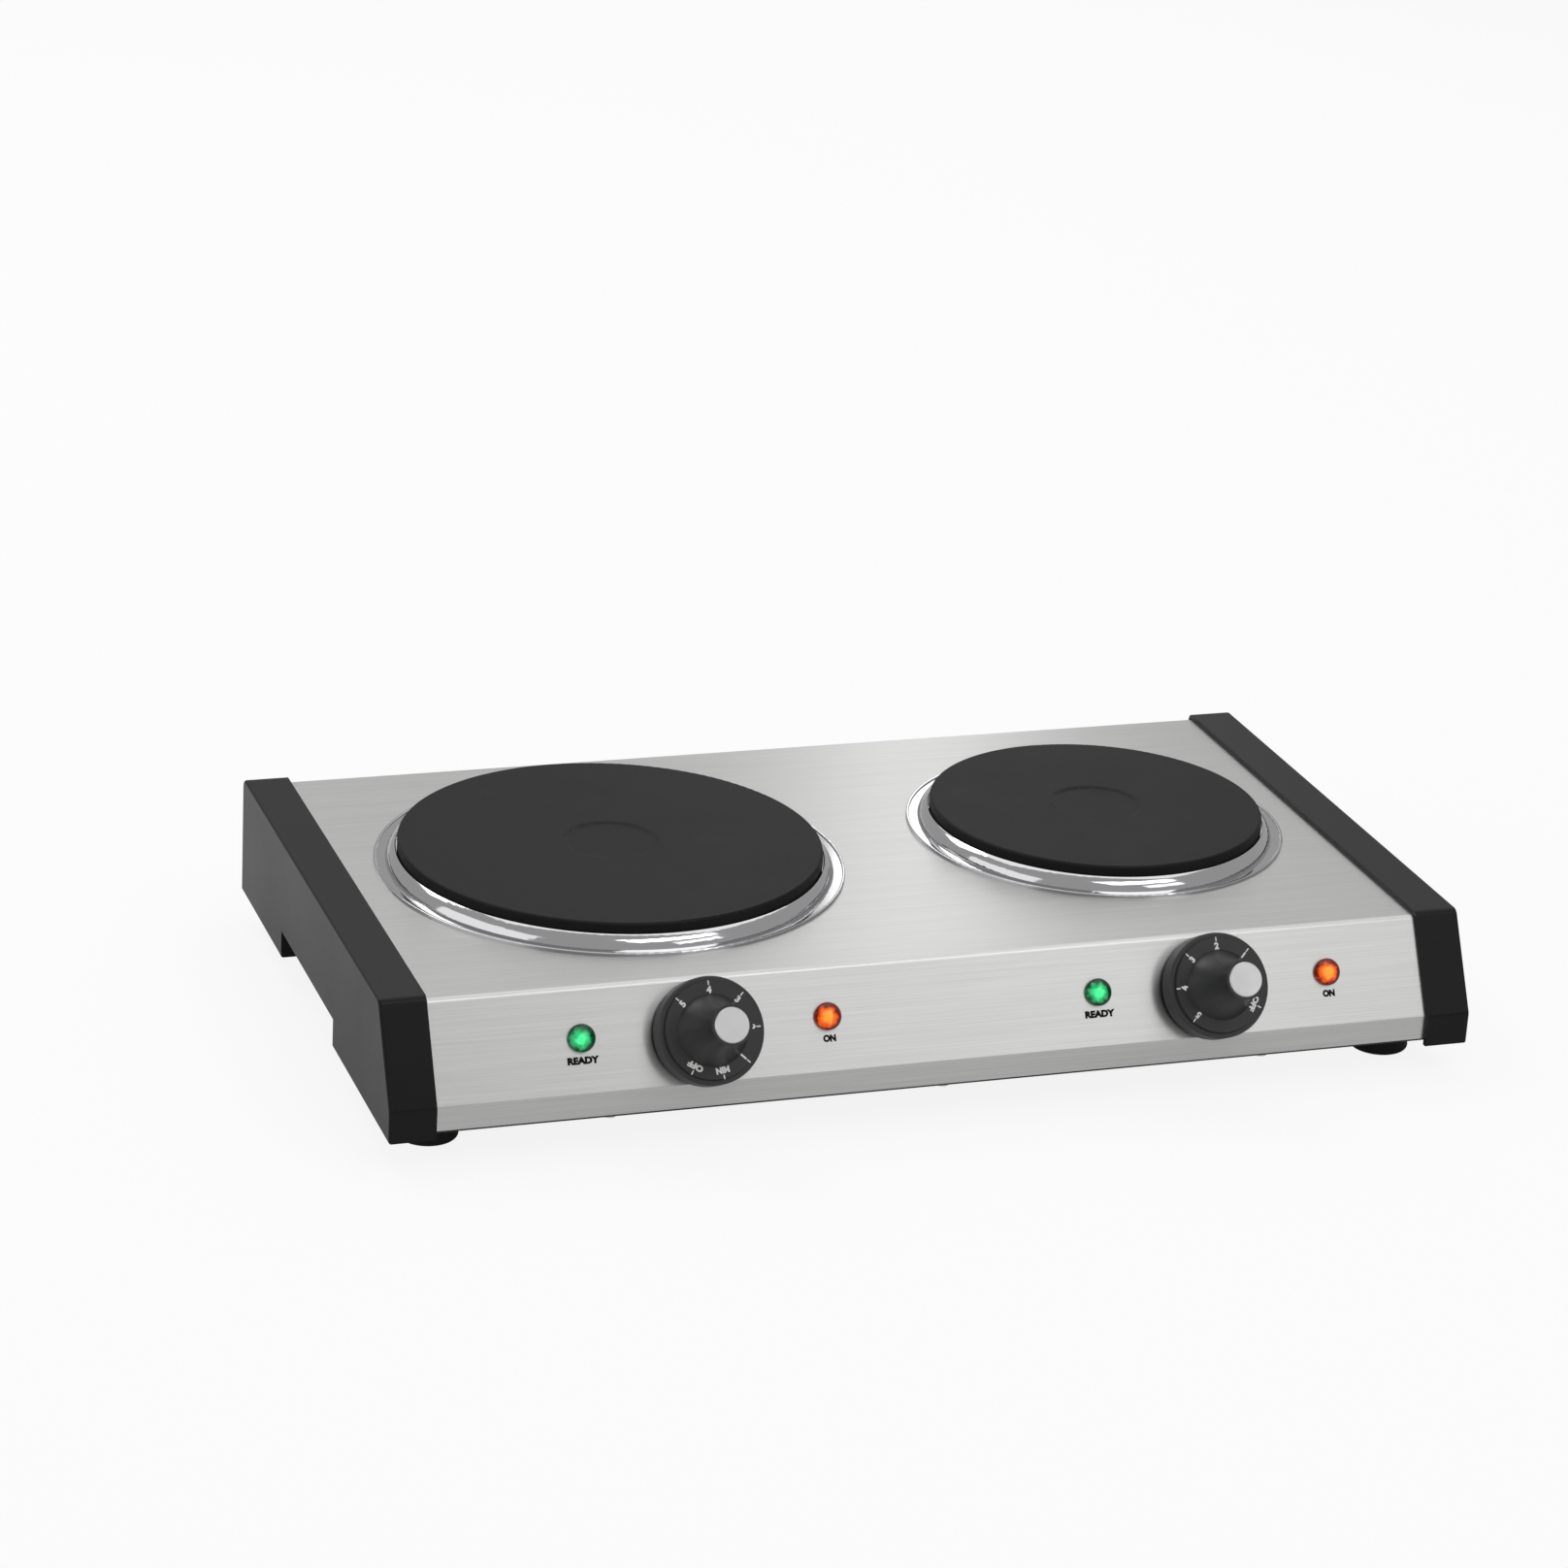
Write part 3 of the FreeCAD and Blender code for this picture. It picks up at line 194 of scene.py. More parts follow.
class NodeMaker:
    """A tree of nodes under construction."""

    def __init__(self, tree: bpy.types.NodeTree) -> None:
        """Start with the tree empty."""
        self.tree = tree
        self.tree.nodes.clear()

    def node(self, kind: str, settings: Optional[dict[str, Any]] = None,
             sockets: Optional[dict[Union[str, int], Any]] = None) -> bpy.types.Node:
        """Add a node.

        Args:
            kind: the node's type.
            settings: what is set on the node before its sockets.
            sockets: values, sockets or wrapped numbers for its inputs, by name or place.

        Returns:
            The node.
        """
        made = self.tree.nodes.new(kind)
        for name, setting in (settings or {}).items():
            setattr(made, name, setting)
        for key, given in (sockets or {}).items():
            self.feed(made.inputs[key], given)
        return made

    def feed(self, target: bpy.types.NodeSocket, given: Any) -> None:
        """Set an input to a value, or link it.

        Args:
            target: the input.
            given: a value, a socket or a wrapped number.
        """
        if isinstance(given, Value):
            given = given.socket
        if isinstance(given, bpy.types.NodeSocket):
            self.tree.links.new(given, target)
        else:
            target.default_value = given

    def values(self, node: bpy.types.Node, *outputs: Union[str, int]) -> list[Value]:
        """Wrap some of a node's outputs, given by name or place."""
        return [Value(self, node.outputs[output]) for output in outputs]

    def rays(self) -> list[Value]:
        """Whether a ray comes from the camera, off a gloss or through glass, each as 0 or 1."""
        path = self.node("ShaderNodeLightPath")
        return self.values(path, "Is Camera Ray", "Is Glossy Ray", "Is Transmission Ray")


class Shader(NodeMaker):
    """A material under construction, with one Principled BSDF."""

    def __init__(self, name: str) -> None:
        """Start an empty material."""
        self.material = bpy.data.materials.new(name)
        self.material.use_nodes = True
        super().__init__(self.material.node_tree)
        self.surface = self.node("ShaderNodeBsdfPrincipled")
        self.output = self.node("ShaderNodeOutputMaterial", None, {"Surface": self.surface.outputs[0]})

    def principled(self, **inputs: Any) -> None:
        """Set inputs of the surface.

        Args:
            inputs: what each input is given, under its name with underscores for spaces.
        """
        for name, given in inputs.items():
            words = name.replace("_", " ").title().replace("Ior", "IOR")
            self.feed(self.surface.inputs[words], rgba(given) if isinstance(given, tuple) else given)

    def place(self) -> bpy.types.NodeSocket:
        """The point's place on the piece, in metres."""
        return self.node("ShaderNodeTexCoord").outputs["Object"]

    def axes(self) -> list[Value]:
        """The point's x, y and z in metres."""
        return self.values(self.node("ShaderNodeSeparateXYZ", None, {0: self.place()}), 0, 1, 2)

    def noise(self, scale: Vector, detail: float = 2.0, roughness: float = 0.5) -> Value:
        """Cloudy noise from 0 to 1.

        Args:
            scale: how many clouds lie in a metre, along X, Y and Z.
            detail: how many finer layers are added.
            roughness: how strong they are.

        Returns:
            The noise.
        """
        spread = self.node("ShaderNodeVectorMath", {"operation": "MULTIPLY"},
                           {0: self.place(), 1: scale})
        made = self.node("ShaderNodeTexNoise", None, {
            "Vector": spread.outputs[0], "Scale": 1.0, "Detail": detail, "Roughness": roughness})
        return Value(self, made.outputs[0])

    def blend(self, share: Value, first: Any, second: Any) -> bpy.types.NodeSocket:
        """Mix two colours.

        Args:
            share: how much of the second colour shows, from 0 to 1.
            first: a colour or a colour socket.
            second: a colour or a colour socket.

        Returns:
            The mixed colour.
        """
        ends = [rgba(end) if isinstance(end, tuple) else end for end in (first, second)]
        made = self.node("ShaderNodeMix", {"data_type": "RGBA"}, {0: share, 6: ends[0], 7: ends[1]})
        return made.outputs[2]

    def relief(self, height: Value, depth: float, strength: float) -> None:
        """Give the surface a bump.

        Args:
            height: the bump's height, from 0 to 1.
            depth: how far a height of 1 stands out, in metres.
            strength: how much of the bump shows, from 0 to 1.
        """
        bump = self.node("ShaderNodeBump", None,
                         {"Height": height, "Distance": depth, "Strength": strength})
        self.feed(self.surface.inputs["Normal"], bump.outputs[0])


def rgba(colour: Colour) -> tuple[float, float, float, float]:
    """A colour with full cover."""
    return (*colour, 1.0)


def toned(colour: Colour, factor: float) -> Colour:
    """A colour made lighter or darker by a factor, up to white."""
    return tuple(min(1.0, part * factor) for part in colour)


def evenly(number: float) -> Vector:
    """The same number along all three axes."""
    return Vector((number, number, number))


def reach_of(across: Value, along: Value) -> Value:
    """The length of a path that goes across and then along."""
    return (across * across + along * along) ** 0.5


# Finishes

class Finish(ABC):
    """A surface that a maker would order by name."""

    def material(self, name: str) -> bpy.types.Material:
        """Make the material.

        Args:
            name: the material's name.

        Returns:
            The material.
        """
        shader = Shader(name)
        self.dress(shader)
        return shader.material

    @abstractmethod
    def dress(self, shader: Shader) -> None:
        """Give a new material this finish."""


@dataclass(frozen=True)
class BrushedSheet(Finish):
    """Stainless sheet, brushed along the appliance's length."""

    dark: Colour = (0.46, 0.46, 0.455)
    bright: Colour = (0.54, 0.54, 0.535)
    contrast: Span = (0.25, 0.75)
    fine_strokes: Point = (14.0, 2600.0, 2600.0)
    fine_share: float = 0.85
    grit: float = 0.6
    broad_strokes: Point = (3.0, 300.0, 300.0)
    roughness: float = 0.33
    dulling: float = 0.03
    stretch: float = 0.7
    across: Point = (0.0, 0.8, 0.6)
    scratch_depth: float = 0.00001
    scratch_strength: float = 0.15

    def dress(self, shader: Shader) -> None:
        """Lay fine and broad strokes along the sheet, which stretch what it mirrors across them.

        Args:
            shader: the material under construction.
        """
        fine = shader.noise(Vector(self.fine_strokes), roughness=self.grit)
        broad = shader.noise(Vector(self.broad_strokes))
        grain = fine * self.fine_share + broad * (1.0 - self.fine_share)
        scatter = shader.node("ShaderNodeCombineXYZ", None, dict(enumerate(self.across)))
        shader.principled(
            base_color=shader.blend(grain.ramp(*self.contrast), self.dark, self.bright),
            metallic=1.0,
            roughness=self.roughness + self.dulling * fine,
            anisotropic=self.stretch,
            tangent=scatter.outputs[0],
        )
        shader.relief(fine, self.scratch_depth, self.scratch_strength)


@dataclass(frozen=True)
class GrainedPlastic(Finish):
    """Moulded plastic, rubber, board or paint with a fine grain."""

    colour: Colour
    roughness: float = 0.45
    specular: float = 0.35
    grain_pitch: float = 1400.0
    grain_depth: float = 0.00002
    grain_strength: float = 0.5
    wear_pitch: float = 26.0
    wear_contrast: Span = (0.3, 0.7)
    wear_tone: float = 1.35
    wear_dulling: float = 0.08

    def dress(self, shader: Shader) -> None:
        """Lay an even grain, with paler and duller clouds of wear.

        Args:
            shader: the material under construction.
        """
        grain = shader.noise(evenly(self.grain_pitch))
        wear = shader.noise(evenly(self.wear_pitch), CLOUD_DETAIL)
        worn = toned(self.colour, self.wear_tone)
        shader.principled(
            base_color=shader.blend(wear.ramp(*self.wear_contrast), self.colour, worn),
            roughness=self.roughness + self.wear_dulling * wear,
            specular_ior_level=self.specular,
        )
        shader.relief(grain, self.grain_depth, self.grain_strength)


@dataclass(frozen=True)
class CloudedMetal(Finish):
    """Plain or plated metal with faint duller clouds."""

    colour: Colour
    roughness: float = 0.35
    cloud_pitch: float = 60.0
    cloud_detail: float = 2.0
    cloud_tone: float = 0.85
    cloud_dulling: float = 0.08

    def dress(self, shader: Shader) -> None:
        """Lay the clouds.

        Args:
            shader: the material under construction.
        """
        cloud = shader.noise(evenly(self.cloud_pitch), self.cloud_detail)
        shader.principled(
            base_color=shader.blend(cloud, self.colour, toned(self.colour, self.cloud_tone)),
            metallic=1.0,
            roughness=self.roughness + self.cloud_dulling * cloud,
        )


@dataclass(frozen=True)
class TurnedIron(Finish):
    """Cast iron, turned in rings and coated black."""

    colour: Colour
    centre_x: float
    centre_y: float
    ring_pitch: float = 1.1
    ring_share: float = 0.25
    sand_pitch: float = 1100.0
    relief_depth: float = 0.00004
    relief_strength: float = 0.5
    cloud_pitch: float = 38.0
    cloud_contrast: Span = (0.3, 0.75)
    cloud_tone: float = 1.5
    cloud_dulling: float = 0.12
    roughness: float = 0.50
    specular: float = 0.15

    def dress(self, shader: Shader) -> None:
        """Lay the rings of the turning over a sandy, cloudy coat.

        Args:
            shader: the material under construction.
        """
        x, y, _ = shader.axes()
        reach = reach_of(x - self.centre_x * MM, y - self.centre_y * MM)
        rings = (reach * (math.tau / (self.ring_pitch * MM))).sine()
        sand = shader.noise(evenly(self.sand_pitch), CLOUD_DETAIL)
        cloud = shader.noise(evenly(self.cloud_pitch), CLOUD_DETAIL)
        paler = toned(self.colour, self.cloud_tone)
        shader.principled(
            base_color=shader.blend(cloud.ramp(*self.cloud_contrast), self.colour, paler),
            roughness=self.roughness + self.cloud_dulling * cloud,
            specular_ior_level=self.specular,
        )
        shader.relief(self.ring_share * rings + sand, self.relief_depth, self.relief_strength)


@dataclass(frozen=True)
class DyedLens(Finish):
    """A dyed lens over a lit lamp, bright in the middle and deep at the rim."""

    rim: Colour
    body: Colour
    heart: Colour
    centre: Point
    lean: float
    radius: float
    glow: float = 0.60
    heart_edge: Span = (0.20, 0.58)
    rim_edge: Span = (0.56, 0.84)
    mottle_pitch: float = 420.0
    mottle_detail: float = 1.0
    mottle_share: float = 0.55
    roughness: float = 0.16
    specular: float = 0.35

    def dress(self, shader: Shader) -> None:
        """Lay the heart, the body and the rim round the lens's middle.

        Args:
            shader: the material under construction.
        """
        x, y, z = (axis - start for axis, start in zip(shader.axes(), self.centre))
        up = y * math.sin(self.lean) + z * math.cos(self.lean)
        mottle = shader.noise(evenly(self.mottle_pitch), self.mottle_detail)
        reach = reach_of(x, up) / self.radius + self.mottle_share * (mottle - 0.5)
        middle = shader.blend(reach.ramp(*self.heart_edge), self.heart, self.body)
        colour = shader.blend(reach.ramp(*self.rim_edge), middle, self.rim)
        shader.principled(
            base_color=colour,
            roughness=self.roughness,
            specular_ior_level=self.specular,
            emission_color=colour,
            emission_strength=self.glow,
        )


@dataclass(frozen=True)
class ClearGlass(Finish):
    """Clear glass of the small lamps."""

    tint: Colour = (0.95, 0.9, 0.86)
    roughness: float = 0.04
    haze_pitch: float = 300.0
    haze_dulling: float = 0.08
    clearness: float = 0.9

    def dress(self, shader: Shader) -> None:
        """Lay a faint haze on the glass.

        Args:
            shader: the material under construction.
        """
        haze = shader.noise(evenly(self.haze_pitch))
        shader.principled(base_color=self.tint, roughness=self.roughness + self.haze_dulling * haze,
                          transmission_weight=self.clearness)


@dataclass(frozen=True)
class PrintedInk(Finish):
    """Flat printing ink."""

    colour: Colour
    wear_pitch: float = 900.0
    wear_contrast: Span = (0.45, 0.8)
    wear_tone: float = 0.85
    wear_lift: float = 0.02
    roughness: float = 0.8
    specular: float = 0.1

    def dress(self, shader: Shader) -> None:
        """Lay the ink, worn in specks.

        Args:
            shader: the material under construction.
        """
        wear = shader.noise(evenly(self.wear_pitch))
        worn = tuple(self.wear_tone * part + self.wear_lift for part in self.colour)
        shader.principled(
            base_color=shader.blend(wear.ramp(*self.wear_contrast), self.colour, worn),
            roughness=self.roughness,
            specular_ior_level=self.specular,
        )


FINISHES: dict[Slot, Finish] = {
    Slot.BRUSHED_STEEL: BrushedSheet(),
    Slot.CAP_PLASTIC: GrainedPlastic((0.0042, 0.0042, 0.0046), roughness=0.33, specular=0.16),
    Slot.BASE_STEEL: GrainedPlastic((0.030, 0.030, 0.032), roughness=0.55),
    Slot.CHROME: CloudedMetal((0.55, 0.55, 0.56), roughness=0.06, cloud_pitch=40.0,
                              cloud_detail=CLOUD_DETAIL, cloud_tone=0.93, cloud_dulling=0.05),
    Slot.FOOT_RUBBER: GrainedPlastic((0.012, 0.012, 0.013), roughness=0.7, specular=0.2),
    Slot.KNOB_PLASTIC: GrainedPlastic((0.015, 0.015, 0.016), roughness=0.36, specular=0.40,
                                      grain_depth=0.00001),
    Slot.KNOB_METAL: CloudedMetal((0.57, 0.57, 0.57), roughness=0.36),
    Slot.ZINC_STEEL: CloudedMetal((0.58, 0.58, 0.56)),
    Slot.SHEATH_STEEL: CloudedMetal((0.20, 0.19, 0.18), roughness=0.5),
    Slot.FIBRE_BOARD: GrainedPlastic((0.70, 0.68, 0.62), roughness=0.9, specular=0.1,
                                     grain_pitch=500.0),
    Slot.MOULDED_BROWN: GrainedPlastic((0.12, 0.07, 0.045)),
    Slot.BRASS: CloudedMetal((0.72, 0.55, 0.25), roughness=0.28),
    Slot.BLOCK_PLASTIC: GrainedPlastic((0.70, 0.69, 0.64)),
    Slot.GLAND_PLASTIC: GrainedPlastic((0.020, 0.020, 0.021)),
    Slot.NEON_GLASS: ClearGlass(),
    Slot.LEAD_BLACK: GrainedPlastic((0.020, 0.020, 0.020)),
    Slot.LEAD_WHITE: GrainedPlastic((0.70, 0.70, 0.68)),
    Slot.LEAD_GREEN: GrainedPlastic((0.05, 0.30, 0.08)),
}


class Finisher:
    """Makes each finish once and hands it out."""

    def __init__(self) -> None:
        """Start with no materials made."""
        self.made: dict[str, bpy.types.Material] = {}

    def of(self, slot: Slot) -> bpy.types.Material:
        """The material of a slot's usual finish."""
        return self.named(slot.value + "_finish", FINISHES[slot])

    def named(self, name: str, finish: Finish) -> bpy.types.Material:
        """The material of a finish, under a name of its own.

        Args:
            name: the material's name.
            finish: what it is made as when it is first asked for.

        Returns:
            The material.
        """
        if name not in self.made:
            self.made[name] = finish.material(name)
        return self.made[name]

    def dress_solids(self) -> None:
        """Give each solid the finish of its slot, which shows on those that no skin replaces."""
        for row in frame["record"]["subparts"]:
            slot = Slot(row["material_slot"])
            if slot in FINISHES:
                solid = frame["nodes"][row["node"]]
                solid.data.materials.clear()
                solid.data.materials.append(self.of(slot))


# Meshes

def linked(name: str, data: bpy.types.ID) -> bpy.types.Object:
    """Make an object and put it into the scene.

    Args:
        name: the object's name.
        data: its mesh, curve, lamp or camera.

    Returns:
        The object.
    """
    made = bpy.data.objects.new(name, data)
    bpy.context.collection.objects.link(made)
    return made


def frozen_mesh(holder: bpy.types.Object, name: str) -> bpy.types.Mesh:
    """Turn an object with live modifiers or a curve into a plain mesh.

    Args:
        holder: the object, which is removed.
        name: the new mesh's name.

    Returns:
        The mesh.
    """
    graph = bpy.context.evaluated_depsgraph_get()
    mesh = bpy.data.meshes.new_from_object(holder.evaluated_get(graph), depsgraph=graph)
    mesh.name = name
    holder.modifiers.clear()
    bpy.data.objects.remove(holder)
    return mesh


def smooth_copy(node: str, name: str, sharp_angle: float) -> bpy.types.Mesh:
    """A smoothly shaded copy of a solid's mesh.

    Args:
        node: the solid's name.
        name: the new mesh's name.
        sharp_angle: an edge that turns by more degrees than this stays crisp.

    Returns:
        The mesh, with its doubled points merged.
    """
    source = frame["nodes"][node].data
    mesh = bpy.data.meshes.new(name)
    mesh.from_pydata([point.co.copy() for point in source.vertices], [],
                     [tuple(face.vertices) for face in source.polygons])
    work = bmesh.new()
    work.from_mesh(mesh)
    bmesh.ops.remove_doubles(work, verts=work.verts, dist=MERGE_DISTANCE)
    bmesh.ops.dissolve_degenerate(work, edges=work.edges, dist=SLIVER_LENGTH)
    work.to_mesh(mesh)
    work.free()
    mesh.polygons.foreach_set("use_smooth", [True] * len(mesh.polygons))
    mesh.set_sharp_from_angle(angle=math.radians(sharp_angle))
    holder = linked(name, mesh)
    weigher = holder.modifiers.new("flat_faces_lead", "WEIGHTED_NORMAL")
    weigher.keep_sharp = True
    weigher.weight = FLAT_FACE_WEIGHT
    return frozen_mesh(holder, name)


def joined(meshes: Sequence[bpy.types.Mesh], name: str) -> bpy.types.Mesh:
    """Put several meshes into one.

    Args:
        meshes: the meshes, each in its place.
        name: the new mesh's name.

    Returns:
        The mesh.
    """
    work = bmesh.new()
    for mesh in meshes:
        work.from_mesh(mesh)
    whole = bpy.data.meshes.new(name)
    work.to_mesh(whole)
    work.free()
    return whole


def add_piece(name: str, mesh: bpy.types.Mesh, body: Body, slot: Slot, material: bpy.types.Material,
              *replaced: str) -> None:
    """Put a finished mesh into the scene.

    Args:
        name: the piece's name.
        mesh: its mesh, already in its place.
        body: the body that it moves with.
        slot: the part's slot that its finish stands for; not used.
        material: the finish.
        replaced: the solids that it is shown instead of.
    """
    mesh.materials.clear()
    mesh.materials.append(material)
    piece = linked(name, mesh)
    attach(piece, body.value)
    if replaced:
        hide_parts(*replaced)
    log.info("%s: %d faces", name, len(mesh.polygons))


def add_skin(node: str, body: Body, slot: Slot, material: bpy.types.Material,
             sharp_angle: float = CRISP_ANGLE) -> None:
    """Show a solid by a smooth copy of itself.

    Args:
        node: the solid's name.
        body: the body that it moves with.
        slot: the part's slot that its finish stands for.
        material: the finish.
        sharp_angle: an edge that turns by more degrees than this stays crisp.
    """
    name = node + "_skin"
    add_piece(name, smooth_copy(node, name, sharp_angle), body, slot, material, node)


# Sub-assemblies

@dataclass
class Panel:
    """The sloped front on which the knobs and lamps sit."""

    lean: float = 28.6
    lip_y: float = -123.232
    lip_z: float = 27.7

    def place(self, x: float, up: float, out: float) -> Matrix:
        """The place and turn of something on the slope.

        Args:
            x: how far along the front it lies.
            up: how far up the slope from the lip.
            out: how far out from the panel's face.

        Returns:
            A matrix whose X runs along the front, Y up the slope and Z out of it.
        """
        lean = math.radians(self.lean)
        upward = Vector((0.0, math.sin(lean), math.cos(lean)))
        outward = Vector((0.0, -math.cos(lean), math.sin(lean)))
        spot = Vector((x, self.lip_y, self.lip_z)) + upward * up + outward * out
        turn = Matrix((Vector((1, 0, 0)), upward, outward)).transposed().to_4x4()
        return Matrix.Translation(spot * MM) @ turn


@dataclass
class Lettering:
    """Plain printed words, made as flat meshes."""

    height: float
    boldness: float
    curve_steps: int = 4

    def word(self, text: str, place: Matrix, width: Optional[float] = None) -> bpy.types.Mesh:
        """Make one word, centred on a place.

        Args:
            text: what is printed.
            place: where its middle lies; its letters stand along the place's Y.
            width: how wide the word is, or None to keep the letters' own width.

        Returns:
            The word's mesh.
        """
        curve = bpy.data.curves.new(text, "FONT")
        curve.body = text
        curve.resolution_u = self.curve_steps
        curve.offset = self.boldness
        mesh = frozen_mesh(linked(text, curve), text)
        spots = [point.co for point in mesh.vertices]
        low, high = (Vector([end(spot[axis] for spot in spots) for axis in range(2)] + [0.0])
                     for end in (min, max))
        tall = self.height * MM / (high.y - low.y)
        wide = width * MM / (high.x - low.x) if width else tall
        scale = Matrix.Diagonal((wide, tall, 1.0, 1.0))
        mesh.transform(place @ scale @ Matrix.Translation(-(low + high) / 2))
        return mesh


@dataclass
class TickRing:
    """Ticks round a dial, laid out by a tree of Geometry Nodes."""

    radius: float = 20.1
    length: float = 1.9
    width: float = 0.55

    def __post_init__(self) -> None:
        """Build the tree once for every dial."""
        self.tree = self.plan()

    def plan(self) -> bpy.types.NodeTree:
        """Build the tree that lays out the ticks.

        Returns:
            The tree. Its inputs are the ticks' number, first angle, step, radius, length, width and
            ink.
        """
        tree = bpy.data.node_groups.new("dial_ticks", "GeometryNodeTree")
        for name, kind in (("Number", "Int"), ("First Angle", "Float"), ("Step", "Float"),
                           ("Radius", "Float"), ("Length", "Float"), ("Width", "Float"),
                           ("Ink", "Material")):
            tree.interface.new_socket(name, in_out="INPUT", socket_type="NodeSocket" + kind)
        tree.interface.new_socket("Ticks", in_out="OUTPUT", socket_type="NodeSocketGeometry")
        maker = NodeMaker(tree)
        given = maker.node("NodeGroupInput")
        first, step, radius = maker.values(given, "First Angle", "Step", "Radius")
        index, = maker.values(maker.node("GeometryNodeInputIndex"), 0)
        angle = index * step + first
        spot = maker.node("ShaderNodeCombineXYZ", None,
                          {0: angle.sine() * radius, 1: angle.cosine() * radius})
        turn = maker.node("ShaderNodeCombineXYZ", None, {2: angle * -1.0})
        row = maker.node("GeometryNodeMeshLine", None,
                         {"Count": given.outputs["Number"], "Offset": (0.0, 0.0, 0.0)})
        round_dial = maker.node("GeometryNodeSetPosition", None,
                                {"Geometry": row.outputs[0], "Position": spot.outputs[0]})
        tick = maker.node("GeometryNodeMeshGrid", None, {
            "Size X": given.outputs["Width"], "Size Y": given.outputs["Length"],
            "Vertices X": 2, "Vertices Y": 2})
        laid = maker.node("GeometryNodeInstanceOnPoints", None, {
            "Points": round_dial.outputs[0], "Instance": tick.outputs[0],
            "Rotation": turn.outputs[0]})
        real = maker.node("GeometryNodeRealizeInstances", None, {0: laid.outputs[0]})
        inked = maker.node("GeometryNodeSetMaterial", None,
                           {"Geometry": real.outputs[0], "Material": given.outputs["Ink"]})
        maker.node("NodeGroupOutput", None, {0: inked.outputs[0]})
        return tree

    def mesh(self, number: int, first: float, step: float, ink: bpy.types.Material) -> bpy.types.Mesh:
        """Lay out some ticks.

        Args:
            number: how many there are.
            first: the first tick's angle, clockwise from the top, in degrees.
            step: the angle from one tick to the next, in degrees.
            ink: what they are printed with.

        Returns:
            The ticks' mesh, round the origin.
        """
        holder = linked("ticks", bpy.data.meshes.new("ticks"))
        maker = holder.modifiers.new("ticks", "NODES")
        maker.node_group = self.tree
        given = {"Number": number, "First Angle": math.radians(first), "Step": math.radians(step),
                 "Radius": self.radius * MM, "Length": self.length * MM, "Width": self.width * MM,
                 "Ink": ink}
        for item in self.tree.interface.items_tree:
            if item.in_out == "INPUT":
                maker[item.identifier] = given[item.name]
        return frozen_mesh(holder, "ticks")


@dataclass
class Housing:
    """The folded shell, the end caps, the base plate, the feet and the cord gland."""

    feet: tuple[str, ...] = ("front_left_foot", "front_right_foot", "rear_left_foot", "rear_right_foot")

    def build(self, finisher: Finisher) -> None:
        """Make and dress the outer pieces.

        Args:
            finisher: hands out the materials.
        """
        outer = {
            "body_shell": Slot.BRUSHED_STEEL,
            "left_end_cap": Slot.CAP_PLASTIC,
            "right_end_cap": Slot.CAP_PLASTIC,
            "base_plate": Slot.BASE_STEEL,
            **dict.fromkeys(self.feet, Slot.FOOT_RUBBER),
            "cord_gland": Slot.GLAND_PLASTIC,
        }
        for node, slot in outer.items():
            add_skin(node, Body.CHASSIS, slot, finisher.of(slot))


@dataclass
class Burner:
    """A cast-iron plate in its bright trim ring."""

    size: str
    centre_x: float
    centre_y: float = 27.168
    iron: Colour = (0.006, 0.006, 0.0063)

    def build(self, finisher: Finisher) -> None:
        """Make and dress the plate and its ring.

        Args:
            finisher: hands out the materials.
        """
        plate = f"{self.size}_hot_plate"
        iron = finisher.named(plate + "_finish", TurnedIron(self.iron, self.centre_x, self.centre_y))
        add_skin(plate, Body.CHASSIS, Slot.CAST_IRON, iron)
        add_skin(f"{self.size}_trim_ring", Body.CHASSIS, Slot.CHROME, finisher.of(Slot.CHROME))


